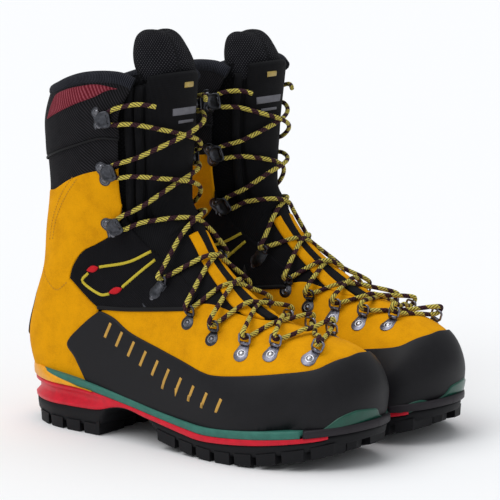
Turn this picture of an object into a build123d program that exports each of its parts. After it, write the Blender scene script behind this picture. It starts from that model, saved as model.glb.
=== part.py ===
"""Pair of insulated mountaineering boots, size about EU 43, right boot modelled and the left one mirrored."""

import math
import os

from build123d import *

# Local frame of the right boot: x forward from the heel, y towards the inner side of the foot, z up.
LENGTH_MIDDLE = 151.3      # x of the middle of the boot, which becomes x = 0 of the pair
HALF_GAP = 62.0            # from the middle of the pair to the heel-toe line of one boot
LEATHER = 2.2              # thickness of the upper
RUBBER = 2.4               # thickness of the rand
LINING_OUT, LINING_IN = -2.4, -8.0
WIDE = 90.0                # half width that every side-view cut reaches

# Upper, as sections seen from the side. Each row: front point x, z; rear point x, z; place of the widest
# point from the rear; half widths outside and inside of the foot; sideways shift at the front and rear;
# roundness of the front half and of the rear half.
SECTIONS = (
    (298.5, 22, 257.5, 23.9, 0.09, 43, 43, 12, 12, 2.1, 6),
    (304, 44, 257.4, 24.6, 0.09, 44, 44, 12, 12, 2.1, 6),
    (304, 62, 257.2, 24.9, 0.08, 44, 44, 12, 12, 2.1, 6),
    (293, 79, 256.8, 25.2, 0.09, 45, 45, 11, 11, 2.15, 6),
    (273, 88, 250, 20, 0.14, 47, 46, 9, 8, 2.2, 6),
    (250, 92, 243, 16, 0.20, 50, 47, 6, 5, 2.1, 6),
    (225, 98, 225, 14, 0.25, 51, 48, 4, 2, 2.0, 6),
    (202, 107, 203, 14, 0.28, 49, 45, 4, 0, 2.0, 6),
    (181, 120, 170, 16, 0.30, 45, 40, 6, -1, 2.0, 6),
    (163, 135, 125, 18, 0.32, 41, 37, 8, -1, 2.0, 6),
    (152, 149, 74, 20, 0.36, 39, 36, 10, 0, 2.0, 5),
    (145, 160, 24, 22, 0.40, 38, 36, 10, 0, 2.1, 4),
    (141, 169, -4, 55, 0.42, 37, 35.5, 10, 0, 2.2, 2.6),
    (138, 178, 0, 90, 0.42, 37, 35.5, 10, 0, 2.2, 2.2),
    (136, 188, 9, 117, 0.43, 38, 37, 10, 0, 2.3, 2.1),
    (135, 200, 13, 147, 0.45, 40, 39, 10, 0, 2.3, 2.1),
    (135, 215, 18, 180, 0.47, 42, 41, 10, 0, 2.3, 2.1),
    (136, 234, 16, 215, 0.47, 44, 43, 10, 0, 2.3, 2.1),
    (138, 258, 17, 240, 0.48, 45, 44, 9, 0, 2.3, 2.1),
    (141, 292, 32, 275, 0.48, 44, 43, 8, 0, 2.3, 2.1),
)


def section_row(place):
    """Row of SECTIONS at any place along the boot, by cubic interpolation."""
    first = max(0, min(len(SECTIONS) - 2, int(place)))
    f = place - first
    rows = [SECTIONS[max(0, min(len(SECTIONS) - 1, first + k))] for k in (-1, 0, 1, 2)]
    weights = (
        (-f + 2 * f**2 - f**3) / 2,
        (2 - 5 * f**2 + 3 * f**3) / 2,
        (f + 4 * f**2 - 3 * f**3) / 2,
        (-(f**2) + f**3) / 2,
    )
    return [sum(w * value for w, value in zip(weights, column)) for column in zip(*rows)]


def section_point(place, turn, grow=0.0):
    """Point of the upper at a turn in degrees: 0 front, 90 inner side, -90 outer side, 180 rear."""
    xa, za, xb, zb, middle, out, inn, shift_a, shift_b, round_a, round_b = section_row(place)
    reach = math.hypot(xa - xb, za - zb)
    cosine, sine = math.cos(math.radians(turn)), math.sin(math.radians(turn))
    power = 2 / (round_a if cosine > 0 else round_b)
    rear_grow = grow if round_b < 5 else grow / 4
    half = (1 - middle) * reach + grow if cosine > 0 else middle * reach + rear_grow
    q = middle * reach + half * math.copysign(abs(cosine) ** power, cosine)
    width = (inn if sine > 0 else out) + grow
    y = shift_b + (shift_a - shift_b) * q / reach + width * math.copysign(abs(sine) ** power, sine)
    return Vector(xb + (xa - xb) * q / reach, y, zb + (za - zb) * q / reach)


def upper_body(grow):
    """The whole upper as one solid, grown or shrunk by an even thickness."""
    with BuildPart() as body:
        for place, row in enumerate(SECTIONS):
            xa, za, xb, zb = row[:4]
            plane = Plane(origin=(xb, 0, zb), x_dir=(xa - xb, 0, za - zb), z_dir=(zb - za, 0, xa - xb))
            front = [section_point(place, turn, grow) for turn in range(-90, 91, 15)]
            rear = [section_point(place, turn, grow) for turn in range(105, 256, 15)]
            rear = [front[-1], *rear, front[0]]
            with BuildSketch(plane):
                with BuildLine():
                    for half in (front, rear):
                        even = [k / (len(half) - 1) for k in range(len(half))]
                        add(Edge.make_spline([plane.to_local_coords(p) for p in half], parameters=even))
                make_face()
        loft()
    return body.part


BODY = {grow: upper_body(grow) for grow in (3.6, RUBBER, 1.2, 0, LINING_OUT, -6.0, LINING_IN, -8.3)}


# Side-view curves of the sole, heel to toe: top of the welt, its underside, underside of the red layer.
WELT_TOP = ((-14, 46.5), (20, 45), (50, 43), (80, 39.5), (116, 34), (150, 29), (179, 26), (203, 25),
            (245, 28), (275, 30.5), (297, 33.5), (318, 37.5))
WELT_LOW = ((-14, 35), (30, 35.2), (60, 35.2), (80, 34.3), (116, 28.8), (150, 24.3), (179, 21),
            (203, 19.3), (245, 22), (275, 24.7), (297, 27.5), (318, 31.5))
RED_LOW = ((-14, 17), (50, 19), (85, 20), (104, 24.5), (118, 25.3), (135, 22.3), (150, 20.2), (176, 16.4),
           (200, 14.4), (243, 17.3), (281, 22.1), (297, 26.3), (318, 31.2))
GROUND = ((-14, 0), (88, 0), (93, 11), (98, 19), (106, 22.4), (118, 22.8), (130, 20), (140, 14), (148, 7),
          (160, 4.6), (180, 2), (203, 0), (222, 0.3), (245, 2), (278, 8), (296, 13), (318, 20))
LUG_DEPTH = 6.5
GROOVE = 4.8               # width of the grooves between the lugs
SIDE_GROOVES = (17, 35, 53, 71, 171, 189, 207, 225, 243, 261, 279, 295)
MIDDLE_GROOVES = (26, 44, 62, 80, 180, 198, 216, 234, 252, 270, 288)
SOLE_PLAN = ((0, 0), (7, -21), (38, -39), (80, -42), (118, -43), (160, -48), (205, -53), (245, -50),
             (278, -35), (300, -11), (307, 14), (300, 38), (280, 53), (250, 57), (215, 53), (180, 44),
             (140, 36), (100, 35), (60, 38), (30, 37), (6, 20))
SOLE_MIDDLE, SOLE_HALF_WIDTH = 153, 48
TOE_WELT_START = 277
RED_END = 289              # the red layer thins out here
BOARD = 3.0                # insole board thickness
FOOTBED = 5.0

# Side-view edges of the panels.
THROAT_OUT = ((103, 310), (103, 250), (102, 215), (101, 195), (101, 175), (106, 160), (120, 146), (138, 134),
              (155, 123), (175, 113), (195, 104.5), (220, 95), (243, 89.5), (262, 87.2), (275, 93))
THROAT_IN = ((113, 310), (113, 250), (112, 215), (111, 195), (111, 175), (115, 160), (126, 146), (141, 134),
             (157, 123), (175, 113), (195, 104.5), (220, 95), (243, 89.5), (262, 87.2), (275, 93))
CUFF_TOP = ((-14, 170), (24, 181), (41, 184), (59, 193), (79, 200), (95, 203), (125, 204))
ANKLE_TOP = ((54, 116), (58, 127), (67, 138), (80, 145), (92, 153), (100, 164), (103, 178))
ANKLE_LOW = ((54, 116), (68, 105), (81, 97), (112, 97), (140, 100), (166, 103), (200, 108))
COLLAR_TOP = ((10, 258), (32, 262), (60, 271), (90, 277), (125, 279))
RAND_TOP = ((52, 68), (70, 86), (84, 95), (98, 91), (116, 83), (148, 74), (170, 69), (191, 65), (206, 63.5),
            (235, 66), (256, 70), (274, 75), (284, 80), (292, 85), (300, 92))
SEAM_X = 83                # the heel quarter and the vamp meet here, under the rand


def side_prism(curve, corners, low=-WIDE, high=WIDE):
    """Solid between two heights of y, over a side view: a smooth curve closed by straight lines."""
    with BuildPart() as prism:
        with BuildSketch(Plane.XZ.offset(-high)):
            with BuildLine():
                Spline(*curve)
                Polyline(curve[-1], *corners, curve[0])
            make_face()
        extrude(amount=high - low)
    return prism.part


def side_polygon(points):
    """Solid across the whole boot over a straight-sided side view."""
    with BuildPart() as prism:
        with BuildSketch(Plane.XZ.offset(-WIDE)):
            with BuildLine():
                Polyline(*points, close=True)
            make_face()
        extrude(amount=2 * WIDE)
    return prism.part


def raised(curve, rise):
    return [(x, z + rise) for x, z in curve]


def between(low_curve, high_curve):
    """Solid across the boot between two side-view curves."""
    with BuildPart() as slab:
        add(side_prism(low_curve, [(320, 400), (-16, 400)]))
        add(side_prism(high_curve, [(320, 400), (-16, 400)]), mode=Mode.SUBTRACT)
    return slab.part


ABOVE_WELT = side_prism(WELT_TOP, [(320, 400), (-16, 400)])
ABOVE_BOARD = side_prism(raised(WELT_TOP, BOARD), [(320, 400), (-16, 400)])
BELOW_COLLAR_TOP = side_prism(COLLAR_TOP, [(340, 279), (340, -20), (-30, -20), (-30, 258)])
with BuildPart() as throat_cut:
    add(side_prism(THROAT_OUT, [(320, 320), (150, 320)], high=8))
    add(side_prism(THROAT_IN, [(320, 320), (150, 320)], low=8))
THROAT = throat_cut.part


def wall(outer, inner, *areas):
    """Part of the wall between two growths of the upper that lies in every area given."""
    with BuildPart() as layer:
        add(BODY[outer])
        for area in areas:
            add(area, mode=Mode.INTERSECT)
        add(BODY[inner], mode=Mode.SUBTRACT)
    return layer.part


LEATHER_WALL = wall(0, LINING_OUT, ABOVE_WELT, BELOW_COLLAR_TOP)
pieces = {}


def sole_layer(slab, grow, x_from=-16, x_to=320):
    """Part of a slab inside the grown plan of the sole, between two places along the foot."""
    plan = [
        (x + grow * (x - SOLE_MIDDLE) / SOLE_MIDDLE, y + grow * y / SOLE_HALF_WIDTH)
        for x, y in SOLE_PLAN
    ]
    with BuildPart() as layer:
        with BuildSketch():
            with BuildLine():
                Spline(*plan, periodic=True)
            make_face()
        extrude(amount=60)
        add(slab, mode=Mode.INTERSECT)
        with BuildSketch(Plane.XY):
            with Locations(((x_from + x_to) / 2, 0)):
                Rectangle(x_to - x_from, 2 * WIDE)
        extrude(amount=60, mode=Mode.INTERSECT)
    return layer.part


# ---- sole ----
welt_slab = between(WELT_LOW, WELT_TOP)
red_slab = between(RED_LOW, WELT_LOW)
yellow_side = side_prism(((28, 48), (34, 43.5), (60, 38.5), (96, 32)),
                         [(96, -10), (-16, -10), (-16, 60), (28, 60)])

with BuildPart() as heel_wedge:
    add(sole_layer(red_slab, -1, x_to=RED_END))
pieces["heel_wedge"] = heel_wedge

with BuildPart() as heel_welt:
    add(sole_layer(welt_slab, 1.5, x_to=110))
    add(yellow_side, mode=Mode.INTERSECT)
pieces["heel_welt"] = heel_welt

with BuildPart() as midsole:
    add(sole_layer(welt_slab, 0, x_to=TOE_WELT_START))
    add(yellow_side, mode=Mode.SUBTRACT)
pieces["midsole"] = midsole

with BuildPart() as toe_welt:
    add(sole_layer(welt_slab, 1.5, x_from=TOE_WELT_START))
pieces["toe_welt"] = toe_welt

with BuildPart() as grooves:
    with BuildSketch(Plane.XY.offset(-1)):
        for x in SIDE_GROOVES:
            for side in (-1, 1):
                with Locations(Location((x, side * 38, 0), (0, 0, side * 12))):
                    Rectangle(GROOVE, 44)
        with Locations(*[(x, 2) for x in MIDDLE_GROOVES]):
            Rectangle(GROOVE, 26)
    extrude(amount=60)
    add(side_polygon([*raised(GROUND, LUG_DEPTH), (320, -10), (-14, -10)]), mode=Mode.INTERSECT)

with BuildPart() as outsole:
    add(sole_layer(side_prism(RED_LOW, [(320, -20), (-16, -20)]), -2))
    add(sole_layer(side_prism(WELT_LOW, [(320, -20), (-16, -20)]), -2, x_from=RED_END))
    add(side_polygon([*GROUND, (320, 60), (-14, 60)]), mode=Mode.INTERSECT)
    add(grooves.part, mode=Mode.SUBTRACT)
pieces["outsole"] = outsole

# ---- inside ----
with BuildPart() as insole_board:
    add(BODY[LINING_OUT])
    add(between(WELT_TOP, raised(WELT_TOP, BOARD)), mode=Mode.INTERSECT)
pieces["insole_board"] = insole_board

with BuildPart() as footbed:
    add(BODY[-8.3])
    add(between(raised(WELT_TOP, BOARD), raised(WELT_TOP, BOARD + FOOTBED)), mode=Mode.INTERSECT)
pieces["footbed"] = footbed

with BuildPart() as lining:
    add(wall(LINING_OUT, LINING_IN, ABOVE_BOARD, BELOW_COLLAR_TOP))
    add(THROAT, mode=Mode.SUBTRACT)
pieces["lining"] = lining

# ---- upper ----
above_cuff = side_prism(CUFF_TOP, [(320, 204), (320, 400), (-14, 400)])
ankle_area = side_prism(ANKLE_TOP, [(300, 178), (300, 108), *reversed(ANKLE_LOW[1:])])
ahead_of_seam = side_prism(((SEAM_X, -10), (SEAM_X, 60), (SEAM_X, 97)),
                           [*ANKLE_LOW[3:], (320, 108), (320, -10)])

with BuildPart() as collar:
    add(LEATHER_WALL)
    add(above_cuff, mode=Mode.INTERSECT)
    add(THROAT, mode=Mode.SUBTRACT)
pieces["collar"] = collar

with BuildPart() as ankle_panel:
    add(LEATHER_WALL)
    add(ankle_area, mode=Mode.INTERSECT)
    add(THROAT, mode=Mode.SUBTRACT)
pieces["ankle_panel"] = ankle_panel

with BuildPart() as vamp:
    add(LEATHER_WALL)
    add(ahead_of_seam, mode=Mode.INTERSECT)
    add(ankle_area, mode=Mode.SUBTRACT)
    add(THROAT, mode=Mode.SUBTRACT)
pieces["vamp"] = vamp

with BuildPart() as cuff:
    add(LEATHER_WALL)
    for other in (above_cuff, ankle_area, ahead_of_seam, THROAT):
        add(other, mode=Mode.SUBTRACT)
pieces["cuff"] = cuff

with BuildPart() as stay_area:
    with BuildSketch(Plane.YZ.offset(-20)):
        with BuildLine():
            Polyline((-9, 40), (9, 40), (8, 100), (6, 190), (-6, 190), (-8, 100), close=True)
        make_face()
    extrude(amount=75)
with BuildPart() as heel_stay:
    add(wall(1.2, 0, stay_area.part, ABOVE_WELT))
pieces["heel_stay"] = heel_stay

insert_area = side_prism(((283, 26), (290, 36.5), (297, 42.5), (304, 46), (312, 47)), [(320, 20), (283, 20)])
with BuildPart() as toe_insert:
    add(wall(3.6, 0, insert_area, ABOVE_WELT))
    with BuildSketch(Plane.YZ.offset(296)):
        with Locations((12, 55)):
            Rectangle(16, 31)
    extrude(amount=20, mode=Mode.SUBTRACT)
pieces["toe_insert"] = toe_insert

rand_area = side_prism(RAND_TOP, [(330, 92), (330, -10), (80, -10), (76, 36), (62, 56)])
with BuildPart() as rand:
    add(wall(RUBBER, 0, rand_area, ABOVE_WELT))
    add(toe_insert.part, mode=Mode.SUBTRACT)
pieces["rand"] = rand

with BuildPart() as tongue:
    add(wall(0, -6.0, THROAT, side_prism(((0, 262), (100, 262), (320, 262)), [(320, 0), (0, 0)])))
pieces["tongue"] = tongue

with BuildPart() as tongue_top:
    for z, x, depth, width in ((265.5, 124, 7, 25), (273, 121, 11, 29), (284, 116, 16, 32),
                               (295, 112, 16, 30), (302, 111, 12, 23), (306, 110.5, 6, 13)):
        with BuildSketch(Plane((x, 8, z))):
            Ellipse(depth, width)
    loft()
pieces["tongue_top"] = tongue_top

# ---- hardware ----
PLATE = 0.8                # sheet thickness of the steel plates
ROLL = 0.5                 # the same where a plate is rolled round its ring
WIRE = 0.85                # wire radius of the rings
PIVOT_UP = 7.5             # from the rivet to the ring's hinge, up the plate
LOCK_UP = 14.0             # the same on the longer lock plate
LOOP_UP = 6.5              # the same on the fixed loops
PIVOT_OUT = 2.3            # from the leather to the ring's hinge
BORE_GAP = 0.05
RING_REACH, RING_WIDTH = 7.5, 9.0
RING_TILT = 45.0           # degrees the ring stands up from the leather
RIVET_HEAD, RIVET_SHANK, RIVET_RISE = 3.2, 1.5, 1.7
HOOK_RIVETS = (-6.0, 6.6)  # from the neck of a hook: away from the lacing, and to either side
LACE = 1.75                # lace radius
# The lace's bend round the far bar of a ring: towards the lacing and outwards from the bar.
RING_CORNERS = ((-3.15, -3.15), (-3.15, 3.9), (2.0, 3.5))
HOOK_TURN = 5.5            # half of the lace's bend round the neck of a hook

# Seats on the upper as (place, turn), outer side then inner side, toe row first.
D_RING_SEATS = (((4.0, -33), (4.6, 26)), ((5.3, -39), (5.6, 36)), ((6.2, -47), (6.6, 43)))
LOOP_SEATS = (((7.4, -51), (7.6, 48)), ((8.4, -54), (8.5, 49)))
LOCK_SEAT = ((9.9, -58), (9.9, 50))
HOOK_SEATS = (((13.6, -64), (13.3, 52)), ((15.9, -70), (15.9, 58)), ((17.6, -72), (17.7, 60)))


def seat(place, turn):
    """Plane on the leather: x towards the lacing, z outwards."""
    here = section_point(place, turn)
    toward = section_point(place, turn - math.copysign(1, turn)) - here
    along = section_point(place + 0.02, turn) - here
    outward = toward.cross(along) * -math.copysign(1, turn)
    return Plane(origin=here, x_dir=toward, z_dir=outward)


def local_plane(plane, origin, x_dir=(1, 0, 0), z_dir=(0, 0, 1)):
    """Plane given in the coordinates of another plane."""
    start = plane.from_local_coords(origin)
    x_end = plane.from_local_coords(tuple(a + b for a, b in zip(origin, x_dir)))
    z_end = plane.from_local_coords(tuple(a + b for a, b in zip(origin, z_dir)))
    return Plane(origin=start, x_dir=x_end - start, z_dir=z_end - start)


def ring(plane, pivot):
    """Wire ring whose near bar lies on the hinge of a plate."""
    slope = (math.cos(math.radians(RING_TILT)), 0, math.sin(math.radians(RING_TILT)))
    middle = (pivot + slope[0] * RING_REACH / 2, 0, PIVOT_OUT + slope[2] * RING_REACH / 2)
    flat = local_plane(plane, middle, slope, (-slope[2], 0, slope[0]))
    with BuildPart() as wire:
        with BuildSketch(flat):
            RectangleRounded(RING_REACH + 2 * WIRE, RING_WIDTH + 2 * WIRE, 2.2 + WIRE)
            RectangleRounded(RING_REACH - 2 * WIRE, RING_WIDTH - 2 * WIRE, 2.2 - WIRE, mode=Mode.SUBTRACT)
        extrude(amount=WIRE, both=True)
        rims = wire.edges().filter_by(lambda edge: abs(flat.to_local_coords(edge.center()).Z) > WIRE / 2)
        fillet(rims, WIRE * 0.97)
    return wire.part


def cross_rod(plane, pivot, radius, width):
    """Round rod along the hinge of a plate."""
    with BuildPart() as rod:
        with BuildSketch(local_plane(plane, (pivot, -width / 2, PIVOT_OUT), z_dir=(0, 1, 0))):
            Circle(radius)
        extrude(amount=width)
    return rod.part


def plate(plane, tail, pivot, width, hinged=True):
    """Sheet from behind its rivet to the rolled end that holds a ring."""
    with BuildPart() as sheet:
        with BuildSketch(plane.offset(0.15)):
            with Locations((tail, 0)):
                Circle(width / 2)
            with BuildLine():
                Polyline((tail, -width / 2), (pivot, -2.3), (pivot, 2.3), (tail, width / 2), close=True)
            make_face()
        extrude(amount=PLATE)
        add(cross_rod(plane, pivot, WIRE + BORE_GAP + ROLL, 4.6))
        if hinged:
            add(cross_rod(plane, pivot, WIRE + BORE_GAP, 40), mode=Mode.SUBTRACT)
        else:
            add(ring(plane, pivot))
    return sheet.part


def rivet(plane, u=0.0, v=0.0):
    """Domed rivet through a plate and the leather."""
    centre = local_plane(plane, (u, v, 0.15 + PLATE), z_dir=(0, -1, 0))
    foot = -0.15 - PLATE - LEATHER + 0.2
    ball_radius = (RIVET_HEAD**2 + RIVET_RISE**2) / (2 * RIVET_RISE)
    with BuildPart() as pin:
        with BuildSketch(centre):
            with BuildLine():
                Polyline((0, foot), (RIVET_SHANK, foot), (RIVET_SHANK, 0), (RIVET_HEAD, 0))
                RadiusArc((RIVET_HEAD, 0), (0, RIVET_RISE), -ball_radius)
                Line((0, RIVET_RISE), (0, foot))
            make_face()
        revolve(axis=Axis(centre.origin, centre.y_dir))
    return pin.part


def speed_hook(plane):
    """Base plate with a neck on the lacing side and a lip bent back over it."""
    neck = ((1.6, -0.3), (2.8, -0.3), (2.8, -6.6), (-4.6, -8.4), (-5.0, -7.2), (1.6, -5.6))
    with BuildPart() as hook:
        with BuildSketch(plane.offset(0.15)):
            with Locations((-3.5, 0)):
                RectangleRounded(13, 21, 4)
        extrude(amount=PLATE)
        with BuildSketch(local_plane(plane, (0, -3.5, 0), z_dir=(0, 1, 0))):
            with BuildLine():
                Polyline(*neck, close=True)
            make_face()
        extrude(amount=7)
    return hook.part


plates, loops, hooks, rivets, rings = [], [], [], [], {}
for name, pairs, tail, pivot, width in (("d_ring", D_RING_SEATS, 0, PIVOT_UP, 9),
                                        ("lock_ring", [LOCK_SEAT], -3, LOCK_UP, 12)):
    for row, pair in enumerate(pairs, 1):
        for side, spot in zip(("outer", "inner"), pair):
            plane = seat(*spot)
            plates.append(plate(plane, tail, pivot, width))
            rivets.append(rivet(plane))
            rings[f"{name}_{side}_{row}"] = ring(plane, pivot)
for pair in LOOP_SEATS:
    for spot in pair:
        loops.append(plate(seat(*spot), 0, LOOP_UP, 8.4, hinged=False))
        rivets.append(rivet(seat(*spot)))
for pair in HOOK_SEATS:
    for spot in pair:
        hooks.append(speed_hook(seat(*spot)))
        rivets += [rivet(seat(*spot), HOOK_RIVETS[0], v) for v in (-HOOK_RIVETS[1], HOOK_RIVETS[1])]

# ---- lace ----
# Rows of lace holders: the two seats, where the ring hangs, and where the strand first touches down.
ROWS = [(pair, PIVOT_UP, 0.42) for pair in D_RING_SEATS] + [(pair, LOOP_UP, 0.34) for pair in LOOP_SEATS]
ROWS += [(LOCK_SEAT, LOCK_UP, 0.34)] + [(pair, None, 0.13) for pair in HOOK_SEATS]
BEND, NECK_BEND = 3.2, 2.1          # bend radii round a ring and round a hook
UNDER, OVER = 3.3, 7.5              # height of the two crossing strands over the tongue


def corners(row, side):
    """Corners of the lace at one row, from the toe side to the collar side, with their bend radius."""
    pair, pivot = ROWS[row][:2]
    place, turn = pair[side]
    plane = seat(place, turn)
    if pivot is None:
        up = -math.copysign(HOOK_TURN, turn)
        spots = ((-0.4, -up, 3.1), (-0.4, up, 3.1))
        return [plane.from_local_coords(spot) for spot in spots], NECK_BEND
    far = RING_REACH * math.cos(math.radians(RING_TILT))
    bar = Vector(pivot + far, 0, PIVOT_OUT + far)
    return [plane.from_local_coords(bar + Vector(x, 0, z)) for x, z in RING_CORNERS], BEND


def strand(row, side):
    """Points of the lace over the tongue, from one row to the other side of the next row."""
    start, end = ROWS[row][0][side], ROWS[row + 1][0][1 - side]
    first, last = ROWS[row][2], ROWS[row + 1][2]
    count = 3 if row < 3 else 5
    over = (row + side) % 2
    points = []
    for k in range(count):
        part = first + (1 - first - last) * k / (count - 1)
        place, turn = (a + (b - a) * part for a, b in zip(start, end))
        hump = (OVER - UNDER) * math.sin(math.pi * (k + 1) / (count + 1)) ** 2 if over else 0
        points.append(section_point(place, turn, UNDER + hump))
    return points


def lace_route():
    """Corner points and bend radii of the lace: down one side, across the toe row and up the other."""
    half = {}
    for first_side in (0, 1):
        points, radii = [], []
        side = first_side
        turns, bend = corners(0, side)
        points += turns
        radii += [bend] * len(turns)
        for row in range(len(ROWS) - 1):
            over_tongue = strand(row, side)
            side = 1 - side
            turns, bend = corners(row + 1, side)
            points += [*over_tongue, *turns]
            radii += [None] * len(over_tongue) + [bend] * len(turns)
        place, turn = ROWS[-1][0][side]
        points += [section_point(17.95, turn * 0.75, 3.2), section_point(17.9, turn * 0.6, 3.0),
                   section_point(17.8, turn * 0.48, 2.6)]
        radii += [None, None, None]
        half[first_side] = (points, radii)
    middle = section_point((D_RING_SEATS[0][0][0] + D_RING_SEATS[0][1][0]) / 2, -3, UNDER)
    points = [*reversed(half[0][0]), middle, *half[1][0]]
    radii = [*reversed(half[0][1]), None, *half[1][1]]
    return points, radii


def bend_radii(points, wanted):
    """Radius for each corner: the size of what the lace goes round, or as large as the runs allow."""
    radii = []
    for a, b, c, size in zip(points, points[1:], points[2:], wanted[1:-1]):
        half_turn = math.radians((b - a).get_angle(c - b)) / 2
        room = 0.45 * min((b - a).length, (c - b).length) / math.tan(half_turn)
        radii.append(min(room, size or 80))
    return radii


lace_points, lace_wanted = lace_route()
lace_radii = bend_radii(lace_points, lace_wanted)
with BuildPart() as lace:
    with BuildLine() as route:
        FilletPolyline(*lace_points, radius=lace_radii)
    start = route.wires()[0]
    with BuildSketch(Plane(origin=start @ 0, z_dir=start % 0)):
        Circle(LACE)
    sweep(path=start)
print("lace length", round(start.length), "mm; least bend radius", round(min(lace_radii), 1), "mm")

for name, solids in (("plates", plates), ("loops", loops), ("speed_hooks", hooks), ("rivets", rivets)):
    with BuildPart() as group:
        add(solids)
    pieces[name] = group
pieces["lace"] = lace
for name, wire in rings.items():
    with BuildPart() as pieces[name]:
        add(wire)

# ---- the pair ----
os.makedirs("parts", exist_ok=True)
for name, piece in pieces.items():
    right = Pos(-LENGTH_MIDDLE, -HALF_GAP, 0) * piece.part
    for side, placed in (("right", right), ("left", mirror(right, about=Plane.XZ))):
        placed.label = f"{side}_{name}"
        export_step(placed, f"parts/{side}_{name}.step")
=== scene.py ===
"""Looks of a pair of insulated mountaineering boots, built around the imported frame."""

import math

import bpy
import numpy as np
from mathutils import Matrix, Vector
from mathutils.geometry import delaunay_2d_cdt


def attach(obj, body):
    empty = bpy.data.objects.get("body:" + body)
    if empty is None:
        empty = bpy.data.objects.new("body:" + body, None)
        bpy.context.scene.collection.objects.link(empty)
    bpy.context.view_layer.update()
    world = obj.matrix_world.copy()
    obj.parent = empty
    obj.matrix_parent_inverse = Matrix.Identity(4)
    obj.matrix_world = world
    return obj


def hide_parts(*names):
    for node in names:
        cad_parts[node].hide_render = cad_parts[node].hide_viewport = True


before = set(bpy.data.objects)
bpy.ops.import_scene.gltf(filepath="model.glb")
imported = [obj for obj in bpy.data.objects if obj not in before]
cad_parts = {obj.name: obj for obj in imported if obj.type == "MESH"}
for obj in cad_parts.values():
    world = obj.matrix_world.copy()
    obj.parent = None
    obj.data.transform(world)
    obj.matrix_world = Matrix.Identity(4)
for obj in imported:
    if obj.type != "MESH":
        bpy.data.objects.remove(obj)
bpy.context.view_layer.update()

# Local frame of the right boot in mm: x forward from the heel, y towards the inner side, z up.
LENGTH_MIDDLE = 151.3
HALF_GAP = 62.0
MM = 0.001
SIDES = ("right", "left")

# Upper, as sections seen from the side. Each row: front point x, z; rear point x, z; place of the widest
# point from the rear; half widths outside and inside of the foot; sideways shift at the front and rear;
# roundness of the front half and of the rear half.
SECTIONS = np.array((
    (298.5, 22, 257.5, 23.9, 0.09, 43, 43, 12, 12, 2.1, 6),
    (304, 44, 257.4, 24.6, 0.09, 44, 44, 12, 12, 2.1, 6),
    (304, 62, 257.2, 24.9, 0.08, 44, 44, 12, 12, 2.1, 6),
    (293, 79, 256.8, 25.2, 0.09, 45, 45, 11, 11, 2.15, 6),
    (273, 88, 250, 20, 0.14, 47, 46, 9, 8, 2.2, 6),
    (250, 92, 243, 16, 0.20, 50, 47, 6, 5, 2.1, 6),
    (225, 98, 225, 14, 0.25, 51, 48, 4, 2, 2.0, 6),
    (202, 107, 203, 14, 0.28, 49, 45, 4, 0, 2.0, 6),
    (181, 120, 170, 16, 0.30, 45, 40, 6, -1, 2.0, 6),
    (163, 135, 125, 18, 0.32, 41, 37, 8, -1, 2.0, 6),
    (152, 149, 74, 20, 0.36, 39, 36, 10, 0, 2.0, 5),
    (145, 160, 24, 22, 0.40, 38, 36, 10, 0, 2.1, 4),
    (141, 169, -4, 55, 0.42, 37, 35.5, 10, 0, 2.2, 2.6),
    (138, 178, 0, 90, 0.42, 37, 35.5, 10, 0, 2.2, 2.2),
    (136, 188, 9, 117, 0.43, 38, 37, 10, 0, 2.3, 2.1),
    (135, 200, 13, 147, 0.45, 40, 39, 10, 0, 2.3, 2.1),
    (135, 215, 18, 180, 0.47, 42, 41, 10, 0, 2.3, 2.1),
    (136, 234, 16, 215, 0.47, 44, 43, 10, 0, 2.3, 2.1),
    (138, 258, 17, 240, 0.48, 45, 44, 9, 0, 2.3, 2.1),
    (141, 292, 32, 275, 0.48, 44, 43, 8, 0, 2.3, 2.1),
), float)
SPOT_SCALE = np.array((20.0, 0.75))     # rough size in mm of one place and of one degree of turn


def surface(spots, rise=0.0):
    """Points of the upper at rows of (place, turn), lifted along the surface normal."""
    spots = np.asarray(spots, float).reshape(-1, 2)
    here = base_surface(spots)
    if np.isscalar(rise) and rise == 0:
        return here
    return here + normals(spots) * np.reshape(rise, (-1, 1))


def base_surface(spots):
    place, turn = spots[:, 0], np.radians(spots[:, 1])
    first = np.clip(place.astype(int), 0, len(SECTIONS) - 2)
    f = (place - first)[:, None]
    rows = [SECTIONS[np.clip(first + k, 0, len(SECTIONS) - 1)] for k in (-1, 0, 1, 2)]
    weights = ((-f + 2 * f**2 - f**3) / 2, (2 - 5 * f**2 + 3 * f**3) / 2,
               (f + 4 * f**2 - 3 * f**3) / 2, (-(f**2) + f**3) / 2)
    row = sum(w * r for w, r in zip(weights, rows))
    xa, za, xb, zb, middle, out, inn, shift_a, shift_b, round_a, round_b = row.T
    reach = np.hypot(xa - xb, za - zb)
    cosine, sine = np.cos(turn), np.sin(turn)
    power = 2 / np.where(cosine > 0, round_a, round_b)
    half = np.where(cosine > 0, (1 - middle) * reach, middle * reach)
    q = middle * reach + half * np.sign(cosine) * np.abs(cosine) ** power
    width = np.where(sine > 0, inn, out)
    y = shift_b + (shift_a - shift_b) * q / reach + width * np.sign(sine) * np.abs(sine) ** power
    return np.column_stack((xb + (xa - xb) * q / reach, y, zb + (za - zb) * q / reach))


def slopes(spots):
    """How the surface moves with place and with turn."""
    step_place, step_turn = np.array([[0.02, 0.0]]), np.array([[0.0, 0.6]])
    along = (base_surface(spots + step_place) - base_surface(spots - step_place)) / 0.04
    around = (base_surface(spots + step_turn) - base_surface(spots - step_turn)) / 1.2
    return along, around


def normals(spots):
    along, around = slopes(spots)
    out = np.cross(around, along)
    return out / np.maximum(np.linalg.norm(out, axis=1, keepdims=True), 1e-9)


grid_place, grid_turn = np.meshgrid(np.arange(0, 19.01, 0.05), np.arange(0, 181, 1.5), indexing="ij")
GRID = {side: np.column_stack((grid_place.ravel(), side * grid_turn.ravel())) for side in (-1, 1)}
GRID_XZ = {side: base_surface(GRID[side])[:, (0, 2)] for side in (-1, 1)}


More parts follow.
